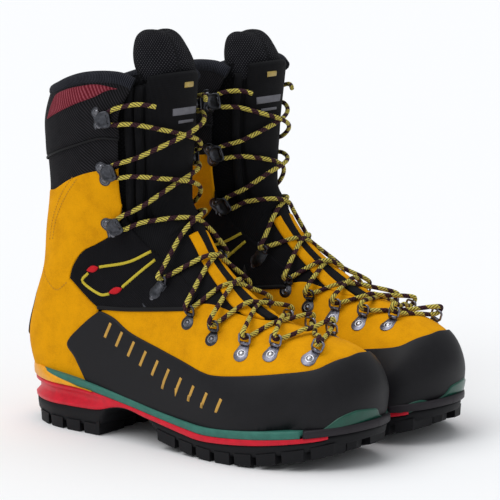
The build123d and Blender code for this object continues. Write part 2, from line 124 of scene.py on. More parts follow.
def spot(x, z, side):
    """Place and turn of the surface point seen at x, z from the outer side (-1) or the inner side (1)."""
    nearest = np.argmin(((GRID_XZ[side] - (x, z)) ** 2).sum(axis=1))
    guess = GRID[side][nearest].copy()
    for _ in range(4):
        here = base_surface(guess[None])[0]
        along, around = (v[0] for v in slopes(guess[None]))
        grid = np.array([[along[0], around[0]], [along[2], around[2]]])
        if abs(np.linalg.det(grid)) < 0.5:
            break
        move = np.linalg.solve(grid, (x - here[0], z - here[2]))
        guess += np.clip(move, (-0.3, -4), (0.3, 4))
    return guess


def smooth(points, step=2.0):
    """Catmull-Rom curve through points, sampled evenly."""
    points = np.asarray(points, float)
    if len(points) == 2:
        count = max(2, int(np.linalg.norm(points[1] - points[0]) / step) + 1)
        return points[0] + (points[1] - points[0]) * np.linspace(0, 1, count)[:, None]
    padded = np.vstack((2 * points[0] - points[1], points, 2 * points[-1] - points[-2]))
    curve = []
    for a, b, c, d in zip(padded, padded[1:], padded[2:], padded[3:]):
        f = np.linspace(0, 1, 24, endpoint=False)[:, None]
        curve.append(0.5 * (2 * b + (c - a) * f + (2 * a - 5 * b + 4 * c - d) * f**2
                            + (3 * b - a - 3 * c + d) * f**3))
    curve = np.vstack((*curve, points[-1:]))
    run = np.concatenate(([0], np.cumsum(np.linalg.norm(np.diff(curve, axis=0), axis=1))))
    stops = np.linspace(0, run[-1], max(2, int(run[-1] / step) + 1))
    return np.column_stack([np.interp(stops, run, column) for column in curve.T])


def side_edge(points, side, step=2.0):
    """Spots along a smooth line given in the side view."""
    return np.array([spot(x, z, side) for x, z in smooth(points, step)])


def spot_edge(points):
    """Spots along a smooth line given as (place, turn)."""
    return smooth(np.asarray(points, float) * SPOT_SCALE) / SPOT_SCALE


def spot_loop(*lines):
    """Closed outline from smooth lines given as (place, turn), each starting where the last one ends."""
    return [spot_edge(line) for line in lines]


def other_side(edges):
    """The same edges on the inner side, so that the loop still runs the same way round."""
    return [edge[::-1] * (1, -1) for edge in reversed(edges)]


def inside(points, loop):
    """Which points lie inside a closed loop."""
    x, y = points[:, 0], points[:, 1]
    hit = np.zeros(len(points), bool)
    for (xa, ya), (xb, yb) in zip(loop, np.roll(loop, -1, axis=0)):
        if ya == yb:
            continue
        crosses = (ya > y) != (yb > y)
        hit ^= crosses & (x < (xb - xa) * (y - ya) / (yb - ya) + xa)
    return hit


def nearest(points, targets):
    """Distance of each point to the nearest target."""
    result = np.empty(len(points))
    for start in range(0, len(points), 2000):
        part = points[start:start + 2000]
        result[start:start + 2000] = np.sqrt(((part[:, None] - targets[None]) ** 2).sum(axis=2)).min(axis=1)
    return result


def make_object(name, points, faces, mat, uv=None, flat=False):
    """Mesh object for one boot, from local mm; the left boot mirrors the right one."""
    made = []
    for side in SIDES:
        place = (np.asarray(points, float) - (LENGTH_MIDDLE, HALF_GAP, 0)) * MM
        loops = [tuple(face) for face in faces]
        if side == "left":
            place[:, 1] *= -1
            loops = [face[::-1] for face in loops]
        mesh = bpy.data.meshes.new(f"{side}_{name}")
        mesh.from_pydata(place.tolist(), [], loops)
        if uv is not None:
            layer = mesh.uv_layers.new(name="UVMap")
            corner = np.empty(len(mesh.loops), int)
            mesh.loops.foreach_get("vertex_index", corner)
            layer.data.foreach_set("uv", (np.asarray(uv, float)[corner] * MM).ravel())
        mesh.polygons.foreach_set("use_smooth", [not flat] * len(mesh.polygons))
        mesh.materials.append(mat)
        mesh.update()
        obj = bpy.data.objects.new(f"{side}_{name}", mesh)
        bpy.context.scene.collection.objects.link(obj)
        made.append(obj)
    return made


# Points of a panel, in mm on the flat plane of places and turns.
OUTLINE_GAP = 0.15                      # least distance between two points of the outline
EDGE_ROWS = (0.35, 0.9, 1.5)            # distances of the rows of points that follow the outline
ROW_SHARE = 0.93                        # row points nearer to the outline than this share are left out
FILL_GAP, GRID_STEP = 1.9, 2.4          # distance of the inner grid from the outline, and its step


def panel(name, edges, rise, mat, depth=None, roll=1.3, shape=None):
    """Sheet on the upper inside a loop of edges, with rolled edges and an optional extra lift."""
    loop = np.vstack([edge[:-1] for edge in edges])
    flat = loop * SPOT_SCALE
    keep = np.linalg.norm(flat - np.roll(flat, 1, axis=0), axis=1) > OUTLINE_GAP
    loop, flat = loop[keep], flat[keep]
    low, high = flat.min(axis=0), flat.max(axis=0)
    u, v = np.meshgrid(*(np.arange(a, b, GRID_STEP) for a, b in zip(low, high)), indexing="ij")
    u[:, 1::2] += GRID_STEP / 2
    fill = np.column_stack((u.ravel(), v.ravel()))
    fill = fill[inside(fill, flat)]
    fill = fill[nearest(fill, flat) > FILL_GAP]
    heading = np.roll(flat, -1, axis=0) - np.roll(flat, 1, axis=0)
    inward = np.column_stack((-heading[:, 1], heading[:, 0]))
    inward /= np.maximum(np.linalg.norm(inward, axis=1, keepdims=True), 1e-9)
    area = np.sum(flat[:, 0] * np.roll(flat[:, 1], -1) - np.roll(flat[:, 0], -1) * flat[:, 1])
    inward *= math.copysign(1, area)
    rows = []
    for gap in EDGE_ROWS:
        row = flat + inward * gap
        row = row[inside(row, flat)]
        rows.append(row[nearest(row, flat) > gap * ROW_SHARE])
    points = np.vstack((flat, *rows, fill))
    ring = [(k, (k + 1) % len(flat)) for k in range(len(flat))]
    made, _, faces, *_ = delaunay_2d_cdt([Vector(p) for p in points], ring, [], 1, 1e-4)
    points = np.array([tuple(p) for p in made])
    spots = points / SPOT_SCALE
    border = base_surface(loop)
    gap = nearest(base_surface(spots), np.vstack((border, (border + np.roll(border, -1, axis=0)) / 2)))
    depth = rise + 0.4 if depth is None else depth
    lift = rise - depth * (1 - np.sqrt(np.clip(1 - (1 - np.minimum(gap / roll, 1)) ** 2, 0, 1)))
    if shape is not None:
        lift = lift + shape(spots, gap)
    faces = [face if area_sign(points, face) > 0 else face[::-1] for face in faces]
    return make_object(name, surface(spots, lift), faces, mat, uv=points)


def area_sign(points, face):
    """Positive where the face looks outwards from the upper."""
    a, b, c = (points[i] for i in face[:3])
    return -((b[0] - a[0]) * (c[1] - a[1]) - (b[1] - a[1]) * (c[0] - a[0]))


def fit(objects, *nodes, body="boot", slot=None):
    """Lets the two objects ride on their boots and stand for CAD nodes."""
    for side, obj in zip(SIDES, objects):
        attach(obj, f"{side}_{body}")
        if nodes:
            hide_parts(*[f"{side}_{node}" for node in nodes])
    return objects


# ---- materials ----
def shader(name, colour, roughness, **sockets):
    """Principled material whose even values sit on its own sockets."""
    mat = bpy.data.materials.new(name)
    mat.use_nodes = True
    bsdf = mat.node_tree.nodes["Principled BSDF"]
    bsdf.inputs["Base Color"].default_value = (*colour, 1)
    bsdf.inputs["Roughness"].default_value = roughness
    for socket, value in sockets.items():
        bsdf.inputs[socket.replace("_", " ")].default_value = value
    return mat


def node(mat, kind, inputs=(), **settings):
    """New shader node; an input value may be a number, a colour or another node's output."""
    made = mat.node_tree.nodes.new(kind)
    for key, value in settings.items():
        setattr(made, key, value)
    for key, value in dict(inputs).items():
        if isinstance(value, bpy.types.NodeSocket):
            mat.node_tree.links.new(value, made.inputs[key])
        else:
            made.inputs[key].default_value = value
    return made


def plug(mat, socket, value):
    mat.node_tree.links.new(value, mat.node_tree.nodes["Principled BSDF"].inputs[socket])


def coordinates(mat, kind, turn=0.0):
    """Object or UV coordinates in mm, turned in their plane."""
    source = node(mat, "ShaderNodeTexCoord").outputs[kind]
    return node(mat, "ShaderNodeMapping", {"Vector": source, "Scale": (1000, 1000, 1000),
                                           "Rotation": (0, 0, math.radians(turn))}).outputs[0]


def noise(mat, vector, scale, detail=3.0, roughness=0.55):
    return node(mat, "ShaderNodeTexNoise", {"Vector": vector, "Scale": scale, "Detail": detail,
                                            "Roughness": roughness}).outputs["Fac"]


def ramp(mat, value, stops):
    """Colour ramp over (place, colour) stops."""
    made = node(mat, "ShaderNodeValToRGB", {"Fac": value})
    band = made.color_ramp
    while len(band.elements) < len(stops):
        band.elements.new(0.5)
    for element, (place, colour) in zip(band.elements, stops):
        element.position = place
        element.color = (*colour, 1)
    return made.outputs["Color"]


def math_node(mat, operation, *values):
    return node(mat, "ShaderNodeMath", dict(enumerate(values)), operation=operation).outputs[0]


def mixed(mat, *parts):
    """Sum of two values, each times its share."""
    return math_node(mat, "ADD", *[math_node(mat, "MULTIPLY", value, share) for value, share in parts])


def bump(mat, height, depth_mm, strength):
    inputs = {"Height": height, "Distance": depth_mm * MM, "Strength": strength}
    return node(mat, "ShaderNodeBump", inputs).outputs[0]


def uneven_roughness(mat, value, low, high):
    """Roughness between two limits, following a value from 0 to 1."""
    spread = node(mat, "ShaderNodeMapRange", {"Value": value, "To Min": low, "To Max": high})
    plug(mat, "Roughness", spread.outputs[0])


def shade(colour, factor):
    return tuple(min(1, c * factor) for c in colour)


def nubuck(name, colour, worn):
    """Brushed leather: soft blotches, a fine nap and small pores."""
    mat = shader(name, colour, 0.9, Specular_IOR_Level=0.08)
    place = coordinates(mat, "Object")
    blotch = noise(mat, place, 0.06, 5, 0.6)
    grain = noise(mat, place, 1.1, 3, 0.7)
    tone = mixed(mat, (blotch, 0.6), (grain, 0.4))
    plug(mat, "Base Color", ramp(mat, tone, ((0.36, worn), (0.5, colour), (0.66, shade(colour, 1.12)))))
    plug(mat, "Normal", bump(mat, grain, 0.22, 0.55))
    return mat


def cloth(name, colour, light, pitch, turn=0.0, depth=0.25, weave="rib"):
    """Woven fabric from two crossed waves, as ribs, twill or open mesh, coloured with painted weave shading."""
    mat = shader(name, colour, 0.9, Specular_IOR_Level=0.12, Sheen_Weight=0.012)
    uv = coordinates(mat, "UV", turn=turn)
    wave = {"Vector": uv, "Scale": 0.314 / pitch, "Distortion": 0.35, "Detail": 1.0, "Detail Scale": 1.2}
    across = node(mat, "ShaderNodeTexWave", wave, bands_direction="Y", wave_profile="SIN").outputs["Fac"]
    along = node(mat, "ShaderNodeTexWave", wave, bands_direction="X", wave_profile="SIN").outputs["Fac"]
    if weave == "rib":
        height = mixed(mat, (across, 0.85), (along, 0.15))
    else:
        height = math_node(mat, "MULTIPLY", across, along)
    patches = noise(mat, coordinates(mat, "Object"), 0.12, 3)
    tone = mixed(mat, (height, 0.7), (patches, 0.3))
    # The colour follows the weave height: the darker copy in the troughs is painted shade, the lighter colour on
    # the crests is a painted highlight, and the patches are random tone.
    plug(mat, "Base Color", ramp(mat, tone, ((0.15, shade(colour, 0.6)), (0.5, colour), (0.85, light))))
    plug(mat, "Normal", bump(mat, height, depth, 0.8))
    return mat


def moulded(name, colour, roughness, grain=0.06, **sockets):
    """Moulded rubber or plastic: faint mottling and a fine mould texture."""
    mat = shader(name, colour, roughness, **sockets)
    place = coordinates(mat, "Object")
    mottle = noise(mat, place, 0.15, 4, 0.6)
    fine = noise(mat, place, 2.2, 2, 0.5)
    plug(mat, "Base Color", ramp(mat, mottle, ((0.3, shade(colour, 0.85)), (0.7, shade(colour, 1.15)))))
    uneven_roughness(mat, mottle, roughness - 0.06, roughness + 0.08)
    plug(mat, "Normal", bump(mat, fine, grain, 0.5))
    return mat


def metal(name, colour, roughness):
    """Pressed sheet or wire with fine scratches and darker worn spots."""
    mat = shader(name, colour, roughness, Metallic=1.0)
    place = coordinates(mat, "Object")
    wear = noise(mat, place, 0.5, 5, 0.65)
    plug(mat, "Base Color", ramp(mat, wear, ((0.35, shade(colour, 0.55)), (0.65, colour))))
    uneven_roughness(mat, wear, roughness - 0.08, roughness + 0.15)
    plug(mat, "Normal", bump(mat, wear, 0.05, 0.4))
    return mat


def lace_cord(name):
    """Round braid: yellow patches with fine dark slants, and dark purple patches between them."""
    mat = shader(name, (0.45, 0.4, 0.08), 0.8, Specular_IOR_Level=0.12)
    uv = node(mat, "ShaderNodeSeparateXYZ", {"Vector": coordinates(mat, "UV")})
    run, turn = uv.outputs[0], uv.outputs[1]
    slant = math_node(mat, "ADD", run, math_node(mat, "MULTIPLY", turn, 0.75))
    block = math_node(mat, "FRACT", math_node(mat, "DIVIDE", slant, 15.0))
    yellow_block = math_node(mat, "LESS_THAN", block, 0.6)
    hatch = math_node(mat, "FRACT", math_node(mat, "DIVIDE", math_node(
        mat, "SUBTRACT", run, math_node(mat, "MULTIPLY", turn, 1.25)), 3.0))
    dark_thread = math_node(mat, "GREATER_THAN", hatch, 0.68)
    bright = math_node(mat, "MULTIPLY", yellow_block, math_node(mat, "SUBTRACT", 1.0, dark_thread))
    light_thread = math_node(mat, "MULTIPLY", math_node(mat, "GREATER_THAN", hatch, 0.9), 0.12)
    plug(mat, "Base Color", ramp(mat, math_node(mat, "ADD", bright, light_thread),
                                 ((0.0, (0.035, 0.01, 0.02)), (1.0, (0.62, 0.53, 0.1)))))
    braid = math_node(mat, "ADD", math_node(mat, "SINE", math_node(mat, "MULTIPLY", slant, 2.6)),
                      math_node(mat, "SINE", math_node(mat, "MULTIPLY", math_node(
                          mat, "SUBTRACT", run, math_node(mat, "MULTIPLY", turn, 0.75)), 2.6)))
    plug(mat, "Normal", bump(mat, braid, 0.12, 0.8))
    return mat


YELLOW = (0.74, 0.325, 0.002)
yellow_leather = nubuck("yellow_nubuck", YELLOW, (0.62, 0.26, 0.002))
# The third value of each cloth is its painted highlight colour on the weave crests.
ribbed_black = cloth("ribbed_black_fabric", (0.004, 0.004, 0.005), (0.011, 0.010, 0.013), 1.1, turn=90)
tongue_black = cloth("tongue_fabric", (0.004, 0.004, 0.005), (0.012, 0.012, 0.014), 0.9, depth=0.12)
shell_grey = cloth("collar_softshell", (0.005, 0.005, 0.006), (0.026, 0.024, 0.028), 1.2, turn=38)
rim_grey = cloth("rim_rib", (0.008, 0.009, 0.013), (0.045, 0.047, 0.06), 1.3, turn=90, depth=0.5)
coarse_mesh = cloth("tongue_mesh", (0.006, 0.006, 0.009), (0.075, 0.075, 0.08), 1.9, turn=45, depth=0.6,
                    weave="mesh")
lining_cloth = cloth("lining_knit", (0.004, 0.004, 0.005), (0.012, 0.012, 0.014), 2.0, turn=45, weave="mesh")
red_mesh = cloth("red_patch_mesh", (0.16, 0.012, 0.022), (0.30, 0.07, 0.09), 1.4, turn=38, depth=0.1)
rand_rubber = moulded("rand_rubber", (0.0075, 0.0072, 0.009), 0.5, Specular_IOR_Level=0.22)
sole_rubber = moulded("sole_rubber", (0.006, 0.006, 0.0075), 0.6, 0.12, Specular_IOR_Level=0.2)
stay_rubber = moulded("stay_rubber", (0.006, 0.006, 0.007), 0.6, Specular_IOR_Level=0.2)
red_foam = moulded("red_midsole", (0.62, 0.004, 0.022), 0.4, Specular_IOR_Level=0.3)
yellow_welt = moulded("yellow_heel_welt", (0.80, 0.34, 0.006), 0.4, Specular_IOR_Level=0.3)
green_welt = moulded("green_midsole", (0.032, 0.155, 0.12), 0.5, Specular_IOR_Level=0.3)
grey_welt = moulded("grey_toe_welt", (0.018, 0.015, 0.019), 0.5, Specular_IOR_Level=0.25)
green_insert = moulded("green_toe_insert", (0.004, 0.065, 0.042), 0.3, Specular_IOR_Level=0.4)
# The third value of each cloth is its painted highlight colour on the weave crests.
thread_yellow = cloth("yellow_thread", (0.62, 0.48, 0.03), (0.85, 0.7, 0.1), 0.7, turn=60)
thread_red = cloth("red_thread", (0.62, 0.01, 0.02), (0.85, 0.04, 0.05), 0.7, turn=60)
black_piping = moulded("black_piping", (0.005, 0.005, 0.006), 0.6, Specular_IOR_Level=0.2)
board_grey = moulded("lasting_board", (0.1, 0.1, 0.1), 0.7)
# The third value is the painted highlight colour on the weave crests.
felt_grey = cloth("footbed_felt", (0.05, 0.05, 0.055), (0.09, 0.09, 0.1), 1.6, weave="mesh")
steel = metal("plate_steel", (0.27, 0.27, 0.33), 0.34)
bright_steel = metal("bright_rivet_steel", (0.62, 0.62, 0.66), 0.22)
dark_steel = metal("gunmetal", (0.085, 0.088, 0.10), 0.3)
ring_steel = metal("ring_steel", (0.10, 0.10, 0.12), 0.34)
rivet_steel = metal("dark_rivet_steel", (0.20, 0.20, 0.22), 0.26)
cord = lace_cord("lace_braid")


# ---- upper ----
def mirrored(edges):
    """Edges of the outer side followed by the same edges on the inner side, as one loop across the front."""
    return [*edges, *other_side(edges)]


def round_heel(edges):
    """The same, as one loop across the rear, with turns from 0 to 360."""
    return [edge + (0, 360) for edge in edges] + other_side(edges)


ANKLE_TOP = ((54, 116), (58, 127), (67, 138), (79, 144.5), (91, 152), (99, 162), (102, 176))
ANKLE_LOW = ((54, 116), (68, 105), (81, 97), (97, 95.5), (112, 97), (140, 100), (166, 103))
THROAT = ((102, 204), (101, 190), (101.5, 175), (107, 160), (120, 146), (138, 134), (155, 122), (168, 114))
RAND_TOP = ((84, 95), (98, 91), (116, 82), (148, 74), (170, 69), (191, 64), (206, 63), (235, 66), (256, 69),
            (276, 72.5), (284, 77))
RAND_LOW = ((76, 36), (116, 31.5), (150, 26.5), (179, 23.5), (203, 22.5), (245, 25.5), (272, 28))
COLLAR_SEAM = ((20, 203), (45, 212), (66, 219), (89, 226), (104, 226))
RIM = ((31, 257), (45, 260.5), (60, 265.5), (75, 269.5), (90, 271.5), (103, 271.5), (110, 270), (116, 267))


def to_rear(edge, first=False):
    """Straight run between the heel line and one end of an edge."""
    place, turn = edge[0] if first else edge[-1]
    run = spot_edge(((place, turn), (place, -180)))
    return run[::-1] if first else run


cuff_top = side_edge([(30, 181.5), (41, 184), (59, 193), (79, 200), (102, 204)], -1)
cuff_front = side_edge(THROAT[:3], -1)
ankle_top = side_edge(ANKLE_TOP, -1)[::-1]
ankle_rear = side_edge(ANKLE_LOW[:3], -1)
heel_front = side_edge([(81, 97), (84, 80), (84, 60), (84, 34)], -1)
heel_low = side_edge([(84, 34), (60, 38), (30, 42), (14, 42.5)], -1)
cuff = panel("cuff", round_heel([to_rear(cuff_top, True), cuff_top, cuff_front, ankle_top, ankle_rear,
                                 heel_front, heel_low, to_rear(heel_low)]), 0.9, yellow_leather)
fit(cuff, "cuff", slot="leather_yellow")

collar_low = side_edge([(103, 232), (102, 204), (101, 198)], -1)
under_cuff = side_edge([(101, 198), (79, 194), (59, 187), (41, 178), (28, 175)], -1)
seam = side_edge(COLLAR_SEAM, -1)
seam_over = side_edge([(x, z + 4) for x, z in COLLAR_SEAM], -1)
seam_end = spot_edge((seam_over[-1], collar_low[0]))
collar_band = panel("collar_lower", round_heel([to_rear(seam_over, True), seam_over, seam_end, collar_low,
                                                under_cuff, to_rear(under_cuff)]),
                    0.3, shell_grey, depth=0.6)
rim_under = side_edge(RIM, -1)
collar_front = spot_edge((rim_under[-1], spot(105, 245, -1), seam[-1]))
collar_upper = panel("collar_upper", round_heel([to_rear(rim_under, True), rim_under, collar_front,
                                                 seam[::-1], to_rear(seam[::-1])]),
                     1.6, shell_grey, depth=2.0, roll=4.0)
fit(collar_band, slot="fabric_collar")
fit(collar_upper, "collar", slot="fabric_collar")

patch_top = side_edge([(35, 236), (46, 254), (58, 260), (73, 264), (90, 266.5), (106, 264)], -1)
patch_low = side_edge([(106, 264), (97, 262), (87, 257), (68, 250), (35, 236)], -1)
fit(panel("collar_patch", [patch_top, patch_low], 2.5, red_mesh, depth=0.9, roll=1.0), slot="fabric_collar")

ankle_front = side_edge(THROAT[2:], -1)
ankle_low = side_edge(ANKLE_LOW, -1)
ankle_rear_top = side_edge(ANKLE_TOP, -1)
for name, sign in (("ankle_outer", 1), ("ankle_inner", -1)):
    loop = [ankle_rear_top, spot_edge((ankle_rear_top[-1], ankle_front[0])), ankle_front,
            spot_edge((ankle_front[-1], ankle_low[-1])), ankle_low[::-1]]
    if sign < 0:
        loop = other_side(loop)
    made = panel(name, loop, 1.4, ribbed_black, depth=1.8)
    fit(made, *(["ankle_panel"] if sign > 0 else []), slot="fabric_black")

vamp_top = side_edge([(80, 93), (97, 99), (112, 100), (140, 103), (164, 106)], -1)
vamp_throat = spot_edge((vamp_top[-1], (8.0, -32), (7.0, -20), (6.3, -10), (6.0, 0)))
rand_line = side_edge([(80, 88), (98, 84), (116, 76), (148, 68), (170, 63), (191, 58), (206, 57), (235, 60),
                       (256, 63), (276, 66), (284, 70)], -1)
vamp_front = spot_edge((rand_line[-1], (2.8, 0)))
vamp_rear = spot_edge((vamp_top[0], rand_line[0]))
vamp = panel("vamp", mirrored([vamp_throat[::-1], vamp_top[::-1], vamp_rear, rand_line, vamp_front]), 0.7,
             yellow_leather)
fit(vamp, "vamp", slot="leather_yellow")

rand_top = side_edge(RAND_TOP, -1)
rand_nose = spot_edge((rand_top[-1], (3.16, -12), (3.16, 0)))
rand_rear = side_edge([(76, 36), (62, 55), (53, 67), (70, 84.5), (84, 95)], -1)
rand_low = side_edge(RAND_LOW, -1)
rand_toe_low = spot_edge(((0.3, 0), rand_low[-1]))
rand = panel("rand", mirrored([rand_toe_low, rand_low[::-1], rand_rear, rand_top, rand_nose]), 2.3,
             rand_rubber, depth=2.6)
fit(rand, "rand", slot="rubber_rand")

insert_top = side_edge([(283, 30), (288, 34), (295, 41), (301, 45)], -1)
insert_bow = spot_edge((insert_top[-1], (1.02, -6), (0.95, 3), (0.72, 10), (0.62, 24), (0.75, 40), (0.6, 60)))
insert_low = spot_edge((insert_bow[-1], (0.3, 60), (0.25, 0), insert_top[0]))
fit(panel("toe_insert", [insert_top, insert_bow, insert_low], 3.3, green_insert, depth=1.4), "toe_insert",
    slot="insert_green")

STAY_LOW = 60                           # height of the lower end of the heel stay
heel_line = base_surface(np.column_stack((np.arange(9, 14, 0.05), np.full(100, 180.0))))
stay_foot = 9 + 0.05 * int(np.argmin(np.abs(heel_line[:, 2] - STAY_LOW)))
stay = round_heel([spot_edge(((16.6, -180), (16.6, -166), (14.5, -160), (13, -155), (stay_foot, -148))),
                   spot_edge(((stay_foot, -148), (stay_foot, -180)))])
fit(panel("heel_stay", stay, 1.9, stay_rubber, depth=2.2), "heel_stay", slot="rubber_rand")


# ---- tongue ----
def ease(value, start, end):
    share = np.clip((np.asarray(value, float) - start) / (end - start), 0, 1)
    return share * share * (3 - 2 * share)


def sunk(depth):
    """Extra lift that lowers the upper part of the tongue behind the edges of the collar."""
    return lambda spots, gap: -depth * ease(spots[:, 0], 11.0, 13.5)


tongue_side = spot_edge(((18.3, -70), (14, -70), (11.5, -62), (9.6, -46)))
tongue_back = mirrored([spot_edge(((18.3, 0), tongue_side[0])), tongue_side,
                        spot_edge((tongue_side[-1], (9.4, 0)))])
tongue = panel("tongue", tongue_back, -1.6, tongue_black, depth=0.5, shape=sunk(5.5))
fit(tongue, "tongue", slot="fabric_black")
tongue_loop = spot_loop(((18.45, -43), (14, -42), (11.2, -30)), ((11.2, -30), (11.2, 26)),
                        ((11.2, 26), (14, 34), (18.45, 34)), ((18.45, 34), (18.45, -43)))
tongue_front = panel("tongue_panel", tongue_loop, 1.2, tongue_black, depth=3.0, roll=3.5, shape=sunk(5.0))
fit(tongue_front, slot="fabric_black")
for name, sign in (("gusset_outer", -1), ("gusset_inner", 1)):
    gusset = spot_loop(((6.95, -17), (7.7, -17), (8.4, -14), (9.3, -14), (10.3, -14), (11.4, -15)),
                       ((11.4, -15), (12.6, -30), (13.2, -58)),
                       ((13.2, -58), (11.4, -58), (9.8, -46), (8.6, -41), (7.9, -37)),
                       ((7.9, -37), (7.4, -26), (6.95, -17)))
    if sign > 0:
        gusset = other_side(gusset)
    fit(panel(name, gusset, 0.2, tongue_black, depth=0.8), slot="fabric_black")
    strip = spot_loop(((10.7, -16), (9.3, -16), (8.4, -16.5), (7.4, -19.5), (6.7, -16)),
                      ((6.7, -16), (6.3, -8)), ((6.3, -8), (7.4, -6), (8.3, -4), (9.3, -4), (10.7, -5)),
                      ((10.7, -5), (10.7, -16)))
    if sign > 0:
        strip = [edge + (0, 3) for edge in other_side(strip)]
    fit(panel(name.replace("gusset", "tongue_wing"), strip, 1.5, yellow_leather, depth=2.0), slot="leather_yellow")
tongue_centre = spot_loop(((11.6, -10), (9.5, -6), (7.4, -7), (6.2, -5)), ((6.2, -5), (6.2, 8)),
                          ((6.2, 8), (7.4, 10), (9.5, 9), (11.6, 14)), ((11.6, 14), (11.6, -10)))
fit(panel("tongue_centre", tongue_centre, 0.9, tongue_black, depth=1.6), slot="fabric_black")


def grid_patch(name, places, turns, rise, mat):
    """Sheet of quads over a range of places and turns."""
    spots = np.array([(p, t) for p in places for t in turns])
    wide = len(turns)
    faces = [(r * wide + c, r * wide + c + 1, (r + 1) * wide + c + 1, (r + 1) * wide + c)
             for r in range(len(places) - 1) for c in range(wide - 1)]
    return make_object(name, surface(spots, rise), faces, mat, uv=spots * SPOT_SCALE)


def tube(name, path, radius, mat, sides=14):
    """Round tube with closed ends along a path of points."""
    path = np.asarray(path, float)
    heading = np.gradient(path, axis=0)
    heading /= np.linalg.norm(heading, axis=1, keepdims=True)
    frame_x = np.cross(heading[0], (0.31, 0.2, 0.93))
    frame_x /= np.linalg.norm(frame_x)
    points, uv = [], []
    run = np.concatenate(([0], np.cumsum(np.linalg.norm(np.diff(path, axis=0), axis=1))))
    for k, (centre, ahead) in enumerate(zip(path, heading)):
        frame_x = frame_x - ahead * frame_x.dot(ahead)
        frame_x /= np.linalg.norm(frame_x)
        frame_y = np.cross(ahead, frame_x)
        for s in range(sides + 1):
            angle = 2 * math.pi * s / sides
            points.append(centre + radius * (math.cos(angle) * frame_x + math.sin(angle) * frame_y))
            uv.append((run[k], angle * radius))
    wide = sides + 1
    faces = [(k * wide + s, k * wide + s + 1, (k + 1) * wide + s + 1, (k + 1) * wide + s)
             for k in range(len(path) - 1) for s in range(sides)]
    faces.append(tuple(range(sides - 1, -1, -1)))
    faces.append(tuple((len(path) - 1) * wide + s for s in range(sides)))
    return make_object(name, points, faces, mat, uv=uv)


rim_outer = rim_under[::-1] + (0, 360)
rim_rear = spot_edge((rim_outer[-1], (rim_outer[-1][0], 180)))
rim_half = np.vstack((rim_outer, rim_rear[1:]))
rim_other = rim_half[::-1][1:].copy()
rim_other[:, 1] = 360 - rim_other[:, 1]
rim_path = surface(np.vstack((rim_half, rim_other)), -1.8)
fit(tube("collar_rim", rim_path, 5.0, rim_grey), slot="fabric_collar")

inner_turns = np.arange(48, 313, 4)
inner_wall = grid_patch("lining", np.arange(10.0, 18.7, 0.25), inner_turns[::-1], -7.0, lining_cloth)
fit(inner_wall, "lining", slot="lining_black")


# ---- sole ----
WELT_TOP = ((-14, 46.5), (20, 45), (50, 43), (80, 39.5), (116, 34), (150, 29), (179, 26), (203, 25),
            (245, 28), (275, 30.5), (297, 33.5), (318, 37.5))
WELT_LOW = ((-14, 35), (30, 35.2), (60, 35.2), (80, 34.3), (116, 28.8), (150, 24.3), (179, 21),
            (203, 19.3), (245, 22), (275, 24.7), (297, 27.5), (318, 31.5))
RED_LOW = ((-14, 17), (50, 19), (85, 20), (104, 24.5), (118, 25.3), (135, 22.3), (150, 20.2), (176, 16.4),
           (200, 14.4), (243, 17.3), (281, 22.1), (297, 26.3), (318, 31.2))
GROUND = ((-14, 0), (88, 0), (93, 11), (98, 19), (106, 22.4), (118, 22.8), (130, 20), (140, 14), (148, 7),
          (160, 4.6), (180, 2), (203, 0), (222, 0.3), (245, 2), (278, 8), (296, 13), (318, 20))
LUG_DEPTH = 6.5
SOLE_PLAN = ((0, 0), (7, -21), (38, -39), (80, -42), (118, -43), (160, -48), (205, -53), (245, -50),
             (278, -35), (300, -11), (307, 14), (300, 38), (280, 53), (250, 57), (215, 53), (180, 44),
             (140, 36), (100, 35), (60, 38), (30, 37), (6, 20))
STATIONS = 150                          # places along the foot where the sole layers have a section
GREEN_START, HEEL_LIP_END = 26, 84      # ends of the sole layers along the foot
TOE_WELT_START, RED_END = 277, 291
RUBBER_TOE = 289                        # from here on the outsole reaches up to the welt


def height(curve):
    """Height of a side-view curve as a function of x."""
    line = smooth(curve, 1.0)
    return lambda x: np.interp(x, line[:, 0], line[:, 1])


welt_top, welt_low, red_low = (height(curve) for curve in (WELT_TOP, WELT_LOW, RED_LOW))


def ground(x):
    return np.interp(x, *np.array(GROUND, float).T)


closed_plan = smooth([*SOLE_PLAN[-3:], *SOLE_PLAN, *SOLE_PLAN[:3]], 1.0)
heel_tip = int(np.argmin(closed_plan[:len(closed_plan) // 2, 0]))
toe_tip = int(np.argmax(closed_plan[:, 0]))
tail = toe_tip + int(np.argmin(closed_plan[toe_tip:, 0]))
outer_line, inner_line = closed_plan[heel_tip:toe_tip + 1], closed_plan[toe_tip:tail + 1][::-1]
station_turn = np.linspace(0, math.pi, STATIONS)
rear_x, front_x = outer_line[0, 0], outer_line[-1, 0]
sole_x = (rear_x + front_x) / 2 - (front_x - rear_x) / 2 * np.cos(station_turn)


def plan_line(line, sign):
    """Plan points at the stations with their outward directions."""
    order = np.maximum.accumulate(line[:, 0] + np.arange(len(line)) * 1e-7)
    points = np.column_stack((sole_x, np.interp(sole_x, order, line[:, 1])))
    heading = np.gradient(points, axis=0)
    out = np.column_stack((heading[:, 1], -heading[:, 0])) * sign
    out[0], out[-1] = (-1, 0), (1, 0)
    return points, out / np.linalg.norm(out, axis=1, keepdims=True)


PLAN = (plan_line(outer_line, 1), plan_line(inner_line, -1))


